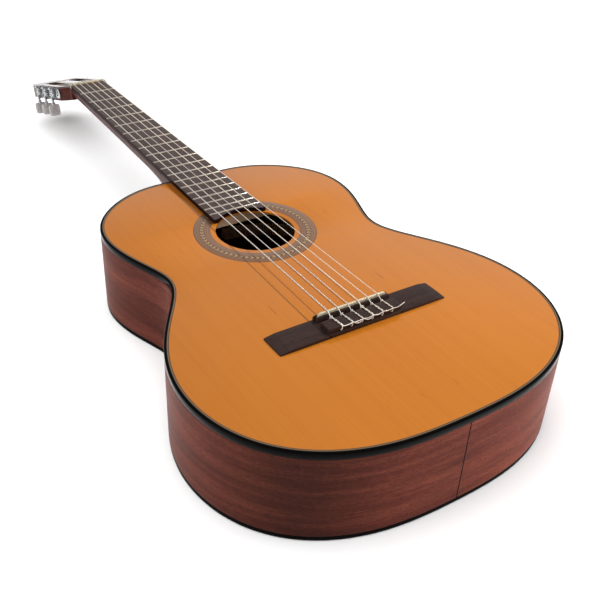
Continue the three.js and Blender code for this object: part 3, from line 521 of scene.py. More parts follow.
NECKM = wood("mahogany_neck", [(0.075, 0.014, 0.010), (0.110, 0.022, 0.014), (0.155, 0.038, 0.022), (0.7, 0.62, 0.60), (1.0, 1.0, 1.0), "mul"],
             across=(900, 30, 900), broad=(30, 3, 30), pores=((2000, 110, 2000), 0.38, (0.025, 0.006, 0.005), 0.55),
             rough=(0.35, 0.45), coat=0.22, coat_rough=0.06, bump_s=0.08, broad_mix=0.8, spec=0.03)
ROSEW = wood("rosewood_board", [(0.050, 0.030, 0.026), (0.082, 0.056, 0.050), (0.122, 0.088, 0.080), (0.75, 0.72, 0.71), (1.0, 1.0, 1.0), "mul"],
             across=(900, 30, 900), broad=(60, 5, 60), pores=((2200, 140, 2200), 0.37, (0.014, 0.008, 0.007), 0.8),
             rough=(0.36, 0.48), bump_s=0.2, broad_mix=0.8, spec=0.45)
# much darker copy of the rosewood for the fretboard's sides and end wall: painted shade on the faces that turn away
# from the light
ROSEW_EDGE_PAINTED_SHADE = wood("rosewood_edge_painted_shade", [(0.010, 0.0032, 0.0028), (0.018, 0.0055, 0.0045), (0.030, 0.0090, 0.0070), (0.75, 0.72, 0.71), (1.0, 1.0, 1.0), "mul"],
             across=(900, 25, 900), broad=(60, 5, 60), rough=(0.40, 0.52), bump_s=0.1, broad_mix=0.8, spec=0.04)
BRIDGEM = wood("rosewood_bridge", [(0.022, 0.010, 0.008), (0.038, 0.019, 0.016), (0.062, 0.034, 0.028), (0.7, 0.66, 0.64), (1.0, 1.0, 1.0), "mul"],
               across=(30, 900, 900), broad=(5, 60, 60), pores=((140, 2200, 2200), 0.37, (0.008, 0.004, 0.003), 0.8),
               rough=(0.38, 0.5), bump_s=0.2, broad_mix=0.8, spec=0.30)
VENEERM = wood("head_veneer", [(0.045, 0.020, 0.016), (0.085, 0.040, 0.032), (0.140, 0.070, 0.055), (0.7, 0.66, 0.64), (1.0, 1.0, 1.0), "mul"],
               across=(650, 10, 650), broad=(40, 4, 40), rough=(0.25, 0.35), coat=0.72, coat_rough=0.05, bump_s=0.05, broad_mix=0.8, spec=0.2)
INNER = wood("inner_wood", [(0.40, 0.20, 0.095), (0.52, 0.285, 0.145), (0.60, 0.36, 0.20), (0.8, 0.76, 0.72), (1.0, 1.0, 1.0), "mul"],
             across=(10, 500, 500), broad=(3, 30, 30), rough=(0.6, 0.75), bump_s=0.3, spec=0.15)
# spruce for the braces, bars and linings, its tone lifted above the wood's own as painted light on these shaded parts
# inside the body
SPRUCE_PAINTED_LIGHT = wood("brace_spruce", [(0.74, 0.46, 0.27), (0.84, 0.56, 0.35), (0.90, 0.64, 0.42), (0.85, 0.82, 0.78), (1.0, 1.0, 1.0), "mul"],
              across=(500, 8, 500), broad=(20, 3, 20), rough=(0.6, 0.75), bump_s=0.3)
BLACK = plain("black_binding", (0.0024, 0.0020, 0.0018), 0.11, vary=0.25, spec=0.03, bump_s=0.02)
BONE = plain("bone", (0.62, 0.52, 0.36), 0.38, vary=0.07, scale=120, sss=0.15, coat=0.3, coat_rough=0.15)
FRETM = plain("nickel_silver", (0.74, 0.66, 0.58), 0.30, metal=1.0, vary=0.06, scale=300)
CHROME = plain("tuner_nickel", (0.50, 0.51, 0.52), 0.15, metal=1.0, vary=0.10, scale=180, rough_vary=0.09)
BRASS = plain("tuner_gear_metal", (0.36, 0.36, 0.36), 0.22, metal=1.0, vary=0.1, scale=250, rough_vary=0.08)
DARKM = plain("blackened_screw", (0.12, 0.12, 0.125), 0.3, metal=1.0, vary=0.15, scale=300)
NYLON = plain("nylon_treble", (0.86, 0.76, 0.63), 0.28, vary=0.03, scale=90, sss=0.25, coat=0.4, coat_rough=0.12)
IVORY = plain("roller_sleeve", (0.78, 0.74, 0.64), 0.35, vary=0.05, scale=150, sss=0.1)


def wound_mat():
    m, nt, b = new_mat("wound_bass")
    uv = coords(nt, "UV")
    u, v, _ = sep(nt, uv)
    s = math_n(nt, "SINE", math_n(nt, "MULTIPLY", math_n(nt, "ADD", u, math_n(nt, "MULTIPLY", v, 0.00028)), 2 * math.pi / 0.00028))
    n = noise(nt, mapping(nt, coords(nt), (90, 90, 90)), 1.0, 3.0, 0.5)
    # winding: crests light and the grooves between the turns darker, which is painted shade in the grooves; the noise
    # below adds the wire's own uneven tone
    c = mix(nt, ramp(nt, s, [(0.2, 1.0), (0.8, 0.0)]), (0.98, 0.93, 0.85), (0.72, 0.66, 0.58))
    c = mix(nt, math_n(nt, "MULTIPLY", n, 0.25), c, (0.88, 0.84, 0.76))
    nt.links.new(c, b.inputs["Base Color"])
    b.inputs["Metallic"].default_value = 0.35
    nt.links.new(ramp(nt, n, [(0.3, 0.34), (0.7, 0.46)]), b.inputs["Roughness"])
    bump(nt, b, s, 0.35, 0.00005)
    return m


WOUND = wound_mat()


def pearl_mat():
    m, nt, b = new_mat("pearloid")
    vec = coords(nt)
    n1 = noise(nt, mapping(nt, vec, (160, 160, 160)), 1.0, 4.0, 0.6, 2.5)
    n2 = noise(nt, mapping(nt, vec, (420, 420, 420), loc=(2, 3, 1)), 1.0, 3.0, 0.6, 1.5)
    c = ramp(nt, n1, [(0.30, (0.40, 0.365, 0.35)), (0.48, (0.54, 0.50, 0.485)), (0.62, (0.68, 0.64, 0.625)), (0.75, (0.48, 0.45, 0.44))])
    c = mix(nt, 0.3, c, ramp(nt, n2, [(0.35, (0.42, 0.39, 0.375)), (0.65, (0.74, 0.70, 0.69))]))
    nt.links.new(c, b.inputs["Base Color"])
    nt.links.new(ramp(nt, n2, [(0.3, 0.20), (0.7, 0.32)]), b.inputs["Roughness"])
    b.inputs["Coat Weight"].default_value = 0.8
    b.inputs["Coat Roughness"].default_value = 0.05
    b.inputs["Subsurface Weight"].default_value = 0.2
    b.inputs["Subsurface Radius"].default_value = (0.003, 0.003, 0.003)
    b.inputs["Subsurface Scale"].default_value = 1.0
    bump(nt, b, n1, 0.06, 0.0001)
    return m


PEARL = pearl_mat()


def purfling_mat():
    """V of the UV map is the distance from the inner edge in units of 10 mm, U the length in metres"""
    m, nt, b = new_mat("purfling_lines")
    u, v, _ = sep(nt, coords(nt, "UV"))
    n = noise(nt, mapping(nt, coords(nt, "UV"), (320, 40, 1)), 1.0, 3.0, 0.6)
    c = ramp(nt, v, [(0.0, (0.030, 0.010, 0.005)), (0.075, (0.200, 0.110, 0.030)), (0.130, (0.150, 0.090, 0.028)), (0.160, (0.020, 0.009, 0.005))], "CONSTANT")
    c = mix(nt, math_n(nt, "MULTIPLY", n, 0.35), c, (0.10, 0.06, 0.03))
    nt.links.new(c, b.inputs["Base Color"])
    nt.links.new(ramp(nt, n, [(0.3, 0.28), (0.7, 0.38)]), b.inputs["Roughness"])
    b.inputs["Coat Weight"].default_value = 1.0
    b.inputs["Coat Roughness"].default_value = 0.03
    return m


PURF = purfling_mat()


def rosette_mat():
    m, nt, b = new_mat("rosette_mosaic")
    x, y, z = sep(nt, coords(nt))
    cx = x
    cy = math_n(nt, "SUBTRACT", y, (SH_Y + YO) / 1000.0)
    r = math_n(nt, "MULTIPLY", math_n(nt, "SQRT", math_n(nt, "ADD", math_n(nt, "MULTIPLY", cx, cx), math_n(nt, "MULTIPLY", cy, cy))), 1000.0)
    ang = math_n(nt, "ARCTAN2", cy, cx)
    rr = math_n(nt, "DIVIDE", math_n(nt, "SUBTRACT", r, R_IN), R_OUT - R_IN)      # 0..1 over the band
    K = lambda mm: (mm - R_IN) / (R_OUT - R_IN)
    dark, tan, taupe, light = (0.060, 0.020, 0.008), (0.36, 0.172, 0.070), (0.275, 0.120, 0.047), (0.55, 0.42, 0.25)
    base = ramp(nt, rr, [(0.0, dark), (K(48.5), tan), (K(49.1), dark), (K(49.8), taupe), (K(51.6), dark), (K(52.3), tan), (K(53.0), dark), (K(53.6), taupe),
                         (K(54.3), dark), (K(55.0), taupe), (K(59.0), dark), (K(59.7), taupe), (K(60.6), dark), (K(61.2), tan), (K(61.9), dark), (K(62.6), taupe),
                         (K(64.3), dark), (K(64.8), tan), (K(65.2), dark)], "CONSTANT")
    # little squares in the taupe bands
    sq = math_n(nt, "SINE", math_n(nt, "MULTIPLY", ang, 150.0))
    fine = math_n(nt, "SINE", math_n(nt, "MULTIPLY", r, 9.5))
    chk = math_n(nt, "MULTIPLY", sq, fine)
    chk = ramp(nt, math_n(nt, "MULTIPLY_ADD", chk, 0.5, 0.5), [(0.42, 0.0), (0.58, 1.0)])
    base = mix(nt, math_n(nt, "MULTIPLY", chk, 0.45), base, (0.12, 0.07, 0.045))
    # rope of chevrons in the middle ring
    t = math_n(nt, "ABSOLUTE", math_n(nt, "SUBTRACT", r, 57.0))
    ph = math_n(nt, "ADD", math_n(nt, "MULTIPLY", ang, 64.0), math_n(nt, "MULTIPLY", t, 1.5))
    rope = math_n(nt, "MULTIPLY_ADD", math_n(nt, "SINE", ph), 0.5, 0.5)
    rcol = ramp(nt, rope, [(0.0, (0.060, 0.026, 0.013)), (0.45, (0.14, 0.070, 0.032)), (0.60, (0.34, 0.205, 0.085)), (1.0, (0.45, 0.29, 0.125))])
    inring = math_n(nt, "LESS_THAN", t, 1.9)
    c = mix(nt, inring, base, rcol)
    n = noise(nt, mapping(nt, coords(nt), (700, 700, 700)), 1.0, 3.0, 0.6)
    c = mix(nt, math_n(nt, "MULTIPLY", n, 0.3), c, taupe)
    nt.links.new(c, b.inputs["Base Color"])
    nt.links.new(ramp(nt, n, [(0.3, 0.28), (0.7, 0.38)]), b.inputs["Roughness"])
    b.inputs["Coat Weight"].default_value = 1.0
    b.inputs["Coat Roughness"].default_value = 0.03
    bump(nt, b, n, 0.03, 0.0001)
    return m


ROSETTE = rosette_mat()

# ------------------------------------------------------------------ sound box
ts_full, perim = arc_params(0.0, NSEG)
ts_open, perim_open = arc_params(T_NECK, NSEG)


def circ(r, n, cx=0.0, cy=SH_Y, ph=0.0):
    return [(cx + r * math.cos(ph + 2 * math.pi * i / n), cy + r * math.sin(ph + 2 * math.pi * i / n)) for i in range(n)]


top = curve_plate("cedar_soundboard", [full_outline(BIND_W + PURF_W), circ(SH_R, 128)], -TOP_T, 0.0, 0.15, res=1)
finish_obj(top, CEDAR, "root", 30, ("soundboard",))

# rosette: inlaid ring, a hair above the cedar so that the lacquer shows one surface
V, F = [], []
nR = 180
for i in range(nR):
    a = 2 * math.pi * i / nR
    for r, z in ((R_IN, -0.8), (R_IN, 0.0), (R_IN + 0.06, 0.03), (57, 0.03), (R_OUT - 0.06, 0.03), (R_OUT, 0.0), (R_OUT, -0.8)):
        V.append((r * math.cos(a), SH_Y + r * math.sin(a), z))
rings = np.array(V).reshape(nR, 7, 3)
V, F = loft(rings, closed=True)
obj_from("rosette_inlay", to_m(V), F, ROSETTE, angle=30, replaces=("rosette",))


def sweep_outline(name, profile, mat, body="root", closed=True, replaces=(), angle=35, inner_first=None, sides=(1, -1)):
    """profile [(inset, z)] swept round the body outline. closed: the whole ring; otherwise from one neck side round the tail to the other"""
    pr = np.array(profile, float)
    n = len(pr)
    ts, total = (ts_full, perim) if closed else (ts_open, perim_open)
    s = np.linspace(0, total, NSEG + 1)
    seq = [(t, 1, a) for t, a in zip(ts, s)] + [(t, -1, 2 * total - a) for t, a in zip(ts[:-1][::-1] if not closed else ts[1:-1][::-1], (s[:-1][::-1] if not closed else s[1:-1][::-1]))]
    rings, uvv = [], []
    acc = np.concatenate([[0], np.cumsum(np.hypot(*np.diff(np.vstack([pr, pr[:1]]), axis=0).T))])
    for t, sx, a in seq:
        row = []
        for k, (o, z) in enumerate(pr):
            x, y = out_pt(t, o)
            if t == math.pi or (closed and t == 0):
                x = 0.0
            row.append((sx * x, y, z))
            uvv.append((a / 1000.0, (BIND_W + PURF_W - o) / 10.0))
        rings.append(row)
    V, F = loft(rings, closed=closed)
    return obj_from(name, to_m(V), F, mat, body, angle, uv=uvv, replaces=replaces)


def arc2(cx, cz, r, a0, a1, n):
    return [(cx + r * math.cos(math.radians(a0 + (a1 - a0) * i / n)), cz + r * math.sin(math.radians(a0 + (a1 - a0) * i / n))) for i in range(n + 1)]


# inset grows inwards, so the rounded outer corner sits near inset 0
bind_prof = [(BIND_W, -TOP_T)] + [(BIND_W, 0.0 - 0.02)] + [(BIND_W - 0.08, 0.02)] + [(1.15 - 1.15 * math.sin(math.radians(a)), -1.15 + 1.15 * math.cos(math.radians(a)) + 0.02) for a in (0, 15, 30, 45, 60, 75, 90)] + [(0.0, -BIND_H + 0.15), (0.10, -BIND_H), (BIND_W, -BIND_H)]
sweep_outline("binding_top", bind_prof, BLACK, closed=False, replaces=("top_binding",), angle=40)
sweep_outline("purfling_top", [(BIND_W, -TOP_T), (BIND_W, 0.0), (BIND_W + 0.05, 0.02), (BIND_W + PURF_W - 0.05, 0.02), (BIND_W + PURF_W, 0.0), (BIND_W + PURF_W, -TOP_T)], PURF, closed=False, replaces=("top_binding",), angle=40)
zb = -DEPTH
bb = [(BIND_W, zb + BACK_BIND_H), (0.10, zb + BACK_BIND_H), (0.0, zb + BACK_BIND_H - 0.12)] + [(1.0 - 1.0 * math.cos(math.radians(a)), zb + 1.0 - 1.0 * math.sin(math.radians(a))) for a in (0, 18, 36, 54, 72, 90)] + [(BIND_W, zb)]
sweep_outline("binding_back", bb, BLACK, closed=True, replaces=("back_binding",), angle=40)


# sides: outer skin and the kerfed linings, each side from the neck to the tail
def side(name, sx, node_name):
    prof = [(0.02, -BIND_H - 0.03), (0.0, -BIND_H - 0.12)] + [(0.0, z) for z in np.linspace(-BIND_H - 4, zb + BACK_BIND_H + 4, 10)] + [(0.0, zb + BACK_BIND_H + 0.12), (0.02, zb + BACK_BIND_H + 0.03), (2.3, zb + BACK_BIND_H + 0.03), (2.3, -BIND_H - 0.03)]
    s = np.linspace(0, perim_open, NSEG + 1)
    rings, uvv = [], []
    for t, a in zip(ts_open, s):
        row = []
        for o, z in prof:
            x, y = out_pt(t, o)
            x = max(float(x), 0.0) if t < math.pi - 1e-9 else 0.0
            row.append((sx * max(x, 0.6), y, z))
            uvv.append((sx * (perim_open - a) / 1000.0 + 0.013 * sx, z / 1000.0))
        rings.append(row)
    V, F = loft(rings)
    o = obj_from(name, to_m(V), F, SIDES, "root", 35, uv=uvv, replaces=(node_name,))
    # linings: saw-kerfed triangular strips, top and back
    V, F = [], []
    for z0, dz in ((-TOP_T, -1), (zb + BACK_T, 1)):
        n = 240
        ts, _ = arc_params(T_NECK, n)
        for i in range(n - 8):
            ta, tb = ts[i], ts[i] + (ts[i + 1] - ts[i]) * 0.80
            base = len(V)
            for t in (ta, tb):
                for o_, z in ((2.35, z0), (8.0, z0), (8.0, z0 + dz * 6.5), (2.35, z0 + dz * 14)):
                    x, y = out_pt(t, o_)
                    V.append((sx * max(float(x), 0.5), float(y), z))
            q = base
            F += [(q, q + 1, q + 2, q + 3), (q + 7, q + 6, q + 5, q + 4)] + [(q + k, q + 4 + k, q + 4 + (k + 1) % 4, q + (k + 1) % 4) for k in range(4)]
    obj_from(name + "_linings", to_m(V), F, SPRUCE_PAINTED_LIGHT, "root", 35, smooth=False)
    return o


side("side_skin_treble", 1, "side_treble")
side("side_skin_bass", -1, "side_bass")
# end seam: thin dark strip between the two sides at the tail
tail_y = float(out_pt(math.pi, 0)[1])
V, F = loft([[(-0.6 + e, tail_y + 0.18, z), (-0.42, tail_y, z), (0.42, tail_y, z), (0.6 - e, tail_y + 0.18, z), (0.6 - e, tail_y + 2.3, z), (-0.6 + e, tail_y + 2.3, z)]
             for z, e in ((-BIND_H - 0.03, 0.05), (-BIND_H - 0.3, 0.0), (0.5 * zb, 0.0), (zb + BACK_BIND_H + 0.3, 0.0), (zb + BACK_BIND_H + 0.03, 0.05))])
obj_from("tail_seam_strip", to_m(V), F, BLACK, smooth=False)

# back: bookmatched plate, centre strip outside, bars inside
back = curve_plate("back_panel", [full_outline(BIND_W)], zb + 0.03, zb + BACK_T, 0.12, res=1)
finish_obj(back, BACKM, "root", 30, ("back_plate",))
V, F = loft([[(-1.6, y, zb + 0.05), (-1.5, y, zb), (1.5, y, zb), (1.6, y, zb + 0.05), (1.6, y, zb + 0.4), (-1.6, y, zb + 0.4)] for y in np.linspace(-816.5, -331.0, 9)])
obj_from("back_centre_strip", to_m(V), F, BLACK, smooth=False)
for k, (y, h) in enumerate(((-425, 127), (-540, 108), (-690, 170))):
    rings = []
    for x in np.concatenate([np.linspace(-h, -h + 22, 6), np.linspace(-h + 30, h - 30, 9), np.linspace(h - 22, h, 6)]):
        e = min(1.0, (h - abs(x)) / 22.0)
        hh = 3.0 + 10.0 * math.sin(e * math.pi / 2)
        rings.append([(x, y - 4, zb + BACK_T - 0.2), (x, y + 4, zb + BACK_T - 0.2), (x, y + 4, zb + BACK_T + hh * 0.45), (x, y + 2.6, zb + BACK_T + hh * 0.85), (x, y, zb + BACK_T + hh), (x, y - 2.6, zb + BACK_T + hh * 0.85), (x, y - 4, zb + BACK_T + hh * 0.45)])
    V, F = loft(rings)
    obj_from(f"back_bar_{k + 1}", to_m(V), F, SPRUCE_PAINTED_LIGHT, angle=40)
for nm, m in (("tail_block", INNER), ("soundboard_bracing", SPRUCE_PAINTED_LIGHT)):
    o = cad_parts[nm]
    o.data.materials.clear()
    o.data.materials.append(m)

# ------------------------------------------------------------------ neck
NS = 40


def section(y, half, depth, blunt, top=0.0, n=NS):
    t = np.linspace(0, math.pi, n + 1)
    c, s = np.cos(t), np.sin(t)
    x = half * np.sign(c) * np.abs(c) ** blunt
    z = -depth * np.abs(s) ** blunt
    return np.stack([x, np.full(n + 1, y), top + z], 1)


keys = [(4.6, 25, 16.4, 0.62), (0, 25, 15.6, 0.66), (-60, fb_half(-60), 16, 0.68), (-200, fb_half(-200), 17.5, 0.70), (-262, fb_half(-262), 19, 0.72),
        (-280, fb_half(-280), 22, 0.78), (-292, fb_half(-292), 28, 0.9), (-301, fb_half(-301), 38, 1.05), (-309, fb_half(-309), 54, 1.2), (-315, fb_half(-315), 71, 1.28),
        (-320, fb_half(-320), 86, 1.3), (-324, fb_half(-324), 96.3, 1.3), (-329.3, 30.2, 96.5, 1.3)]
K = np.array(keys)
yy = np.concatenate([np.linspace(4.6, -262, 40), np.linspace(-266, -324, 44), [-327, -329.3]])
par = [np.interp(-yy, -K[:, 0], K[:, j]) for j in (1, 2, 3)]
# smooth the depth curve of the heel
dep = par[1].copy()
for _ in range(3):
    dep[45:-3] = (dep[44:-4] + 2 * dep[45:-3] + dep[46:-2]) / 4
rings = [section(y, a, d, b) for y, a, d, b in zip(yy, par[0], dep, par[2])]
V, F = loft(rings)
obj_from("neck_shaft", to_m(V), F, NECKM, "root", 50, replaces=("neck",))
# heel cap
rings = []
for y in np.linspace(-321.5, -329.3, 8):
    d = float(np.interp(-y, -yy[::1], dep))
    rings.append([(-9.5 * (1 if y < -323 else 0.8), y, -93.4), (9.5 * (1 if y < -323 else 0.8), y, -93.4), (8.8 * (1 if y < -323 else 0.8), y, -96.6), (-8.8 * (1 if y < -323 else 0.8), y, -96.6)])
V, F = loft(rings)
hc = raw("heel_cap", to_m(V), F)
bevel(hc, 0.5, 2)
finish_obj(hc, VENEERM, "root", 35, ())
# inner block and foot, seen through the soundhole
V, F = loft([[(x, -330.5, zb + BACK_T), (x, -346, zb + BACK_T), (x, -346, -TOP_T), (x, -330.5, -TOP_T)] for x in (-30.2, 30.2)])
blk = raw("neck_block", to_m(V), F)
bevel(blk, 0.8, 2)
finish_obj(blk, NECKM, "root", 35, ())
V, F = loft([[(x, -345.5, zb + BACK_T), (x, -373, zb + BACK_T), (x, -373, -88), (x, -358, -83), (x, -345.5, -82)] for x in (-30.2, 30.2)])
ft = raw("neck_foot", to_m(V), F)
bevel(ft, 0.8, 2)
finish_obj(ft, NECKM, "root", 35, ())


# head outline with the crown-shaped tip, smoothed
def smooth_poly(pts, k=6, sharp=()):
    """Catmull through points, broken at the sharp indices"""
    out, seg = [], [pts[0]]
    for i, p in enumerate(pts[1:], 1):
        seg.append(p)
        if i in sharp or i == len(pts) - 1:
            c = catmull(np.array([(a, b, 0) for a, b in seg]), k)[:, :2]
            out += [tuple(q) for q in c[:-1]]
            seg = [p]
    out.append(pts[-1])
    return out


def head_outline(inset=0.0):
    w, L = HEAD_HALF - inset, HEAD_LEN - inset
    a = [(FB_NUT - inset, 1.0), (FB_NUT + 1.0 - inset, 5.0), (FB_NUT + 5.2 - inset, 11.5), (w - 2, 18.5), (w, 23.5)]
    a = smooth_poly(a, 6)
    a += [(w, 60), (w, 110), (w, L - 3), (w - 0.5, L - 1.0), (w - 1.6, L)]
    b = smooth_poly([(w - 1.6, L), (w - 9, L + 1.2), (w - 15.5, L + 4.8)], 6)[1:]
    c = smooth_poly([(w - 15.5, L + 4.8), (w - 19, L + 4.2), (12.2, L + 6.0)], 5)[1:]
    d = smooth_poly([(12.2, L + 6.0), (8, L + HEAD_CROWN - 2.6), (4, L + HEAD_CROWN - 0.6), (0, L + HEAD_CROWN), (-4, L + HEAD_CROWN - 0.6)], 5)
    d = [p for p in d if p[0] > -1e-6][1:]
    right = a + b + c + d
    left = [(-x, y) for x, y in right[::-1] if x > 1e-6]
    return right + left


def slot_outline(sx, grow=0.0):
    r = (SLOT_OUT - SLOT_IN) / 2 + grow
    cx = (SLOT_OUT + SLOT_IN) / 2
    pts = [(cx + r * math.cos(a), SLOT_FAR - (r - grow) + r * math.sin(a)) for a in np.linspace(0, math.pi, 17)]
    pts += [(cx + r * math.cos(a), SLOT_NEAR + (r - grow) + r * math.sin(a)) for a in np.linspace(math.pi, 2 * math.pi, 17)]
    return [(sx * x, y) for x, y in pts]


def ramp_cutter(sx):
    """carved ramp that leads each string down into the slot at its nut end"""
    rings = []
    cx = sx * (SLOT_OUT + SLOT_IN) / 2
    for s, depth, half in ((SLOT_NEAR - 9.0, -0.6, 2.0), (SLOT_NEAR - 5.0, 2.2, 5.5), (SLOT_NEAR + 1.0, 5.5, 7.6), (SLOT_NEAR + 7.0, 9.0, 8.5)):
        t = np.linspace(0, math.pi, 13)
        rings.append([(cx + half * math.cos(a), s, -depth * math.sin(a) if depth > 0 else 0.6 * math.sin(a) * 0 - 0.0) for a in t] + [(cx - half, s, 3.0), (cx + half, s, 3.0)])
    V, F = loft(rings)
    return raw("cut", to_m(head(V)), F)


blank = curve_plate("head_blank", [head_outline(), slot_outline(1), slot_outline(-1)], -HEAD_T, -VENEER, 0.5, place=head, res=2)
cut = [ramp_cutter(1), ramp_cutter(-1)]
for s in ROLL_S:
    for sx in (1, -1):
        V, F = loft(rod_rings(3.4, (sx * 3.2, s, -ROLL_D), (sx * 45, s, -ROLL_D), 28))
        cut.append(raw("cut", to_m(head(V)), F))
boolean(blank, cut)
finish_obj(blank, NECKM, "root", 35, ("neck",))
ven = curve_plate("head_face", [head_outline(0.0), slot_outline(1), slot_outline(-1)], -VENEER, 0.0, 0.35, place=head, res=2)
cutn = raw("cut", to_m(loft([[(x, -20, -30), (x, 5.25, -30), (x, 5.25, 40), (x, -20, 40)] for x in (-60, 60)])[0]), loft([[(0, 0, 0)] * 4] * 2)[1])
boolean(ven, [ramp_cutter(1), ramp_cutter(-1), cutn])
finish_obj(ven, VENEERM, "root", 35, ("headstock_veneer",))

# ------------------------------------------------------------------ fretboard, frets, nut
END_R = SH_R - 0.6
yl = -444.5
half = fb_half(yl)
a0, a1 = math.acos(-half * 0.985 / END_R), math.acos(half * 0.985 / END_R)
arc = [(END_R * math.cos(a), max(SH_Y + END_R * math.sin(a), yl)) for a in np.linspace(a0, a1, 41)]
fb = curve_plate("fingerboard", [[(fb_half(0), -0.05), (-fb_half(0), -0.05), (-half, yl)] + arc + [(half, yl)]], 0.0, FB_TOP, 0.45, res=2)
finish_obj(fb, ROSEW, "root", 35, ("fretboard",))
# faces that do not face up (the sides and the end wall) take the darker rosewood copy, which is painted shade
fb.data.materials.append(ROSEW_EDGE_PAINTED_SHADE)
for p in fb.data.polygons:
    if abs(p.normal.z) < 0.6:
        p.material_index = 1
for k in range(1, 20):
    y = fret_y(k) + (0.4 if k == 19 else 0.0)
    h = fb_half(y) - 0.45
    w, hh = 1.1, 1.0
    rings = []
    for x, e in ((-h, 0.05), (-h + 0.18, 0.45), (-h + 0.5, 0.8), (-h + 1.1, 1.0), (0, 1.0), (h - 1.1, 1.0), (h - 0.5, 0.8), (h - 0.18, 0.45), (h, 0.05)):
        ring = [(x, y + w, FB_TOP - 0.1)] + [(x, y + w * math.cos(a), FB_TOP + 0.12 + (hh - 0.12) * e * math.sin(a) ** 0.85) for a in np.linspace(0.02, math.pi - 0.02, 12)] + [(x, y - w, FB_TOP - 0.1)]
        rings.append(ring)
    V, F = loft(rings)
    obj_from(f"fret_wire_{k:02d}", to_m(V), F, FRETM, "root", 60, replaces=(f"fret_{k:02d}",))

xs_nut = [-21.5 + 43.0 * i / 5 for i in range(6)]
xs_sad = [-28.5 + 57.0 * i / 5 for i in range(6)]
prof = [(0.05, 0.02), (4.95, 0.02), (4.95, NUT_TOP - 1.6), (4.5, NUT_TOP - 0.9), (3.6, NUT_TOP - 0.25), (2.4, NUT_TOP + 0.1), (1.2, NUT_TOP + 0.2), (0.35, NUT_TOP + 0.1), (0.05, NUT_TOP - 0.2)]
V, F = loft([[(x, y, z) for y, z in prof] for x in (-25.0, 25.0)])
nut = raw("nut_bone", to_m(V), F)
bevel(nut, 0.35, 3, 50)
cut = []
for i, x in enumerate(xs_nut):
    r = STRING_D[i] / 2 + 0.08
    V, F = loft(rod_rings(r, (x, -3, NUT_TOP + STRING_D[i] / 2 + 0.06), (x, 8, NUT_TOP + STRING_D[i] / 2 - 0.5), 16))
    cut.append(raw("cut", to_m(V), F))
boolean(nut, cut)
finish_obj(nut, BONE, "root", 35, ("nut",))

# ------------------------------------------------------------------ bridge
ym = (BR_F + BR_B) / 2
hw = (BR_F - BR_B) / 2


def wing_ring(x, z, cut):
    pts = [(x, BR_B + cut, 0.0), (x, BR_F - cut, 0.0)]
    for a in np.linspace(0, 1, 15):
        u = 1 - 2 * a
        zz = z * (1 - 0.28 * abs(u) ** 2.6)
        pts.append((x, ym + (hw - cut) * u, zz))
    return pts


for nm, sx in (("treble", 1), ("bass", -1)):
    rings = []
    for x, z, c in ((BR_BLOCK - 1.5, 4.1, 0.0), (60, 4.0, 0.0), (BR_HALF - 12, 3.8, 0.0), (BR_HALF - 10.5, 3.6, 0.0), (BR_HALF - 5, 2.5, 0.05), (BR_HALF - 0.4, 1.4, 0.15), (BR_HALF, 1.0, 0.4)):
        rings.append([(sx * p[0], p[1], p[2]) for p in wing_ring(x, z, c)])
    V, F = loft(rings)
    obj_from(f"bridge_wing_{nm}", to_m(V), F, BRIDGEM, "root", 25, replaces=("bridge",))
# middle: base with the saddle block, its ends chamfered, then the tie block behind a channel
base = [(BR_F, 0), (BR_F, 3.9), (BR_B, 3.9), (BR_B, 0)]
V, F = loft([[(x, y, z) for y, z in base] for x in (-BR_BLOCK, BR_BLOCK)])
bb_ = raw("bridge_base", to_m(V), F)
bevel(bb_, 0.25, 2)
finish_obj(bb_, BRIDGEM, "root", 35, ("bridge",))
sb = [(BR_F - 0.1, 3.0), (BR_F - 0.1, 6.2), (BR_F - 1.3, 8.3), (SADDLE_Y + SADDLE_T / 2 + 0.04, 8.7), (SADDLE_Y + SADDLE_T / 2 + 0.04, 3.2), (SADDLE_Y - SADDLE_T / 2 - 0.04, 3.2), (SADDLE_Y - SADDLE_T / 2 - 0.04, 8.9), (SADDLE_Y - SADDLE_T / 2 - 1.6, 8.5), (SADDLE_Y - SADDLE_T / 2 - 3.0, 3.0)]
rings = []
for x, k in ((-BR_BLOCK, 0.84), (-BR_BLOCK + 0.3, 0.95), (-BR_BLOCK + 0.8, 1.0), (BR_BLOCK - 0.8, 1.0), (BR_BLOCK - 0.3, 0.95), (BR_BLOCK, 0.84)):
    rings.append([(x, y, 3.0 + (z - 3.0) * k if z > 3.3 else z) for y, z in sb])
V, F = loft(rings)
obj_from("bridge_saddle_block", to_m(V), F, BRIDGEM, "root", 30)
tb = [(TIE_F, 3.2), (TIE_F, TIE_TOP), (TIE_B, TIE_TOP), (TIE_B, 3.2)]
V, F = loft([[(x, y, z) for y, z in tb] for x in (-BR_BLOCK + 0.2, BR_BLOCK - 0.2)])
tie = raw("bridge_tie_block", to_m(V), F)
bevel(tie, 0.35, 3)
cut = []
for x in xs_sad:
    V, F = loft(rod_rings(0.95, (x, TIE_F + 4, 5.4), (x, TIE_B - 4, 5.1), 18))
    cut.append(raw("cut", to_m(V), F))
boolean(tie, cut)
finish_obj(tie, BRIDGEM, "root", 35, ())

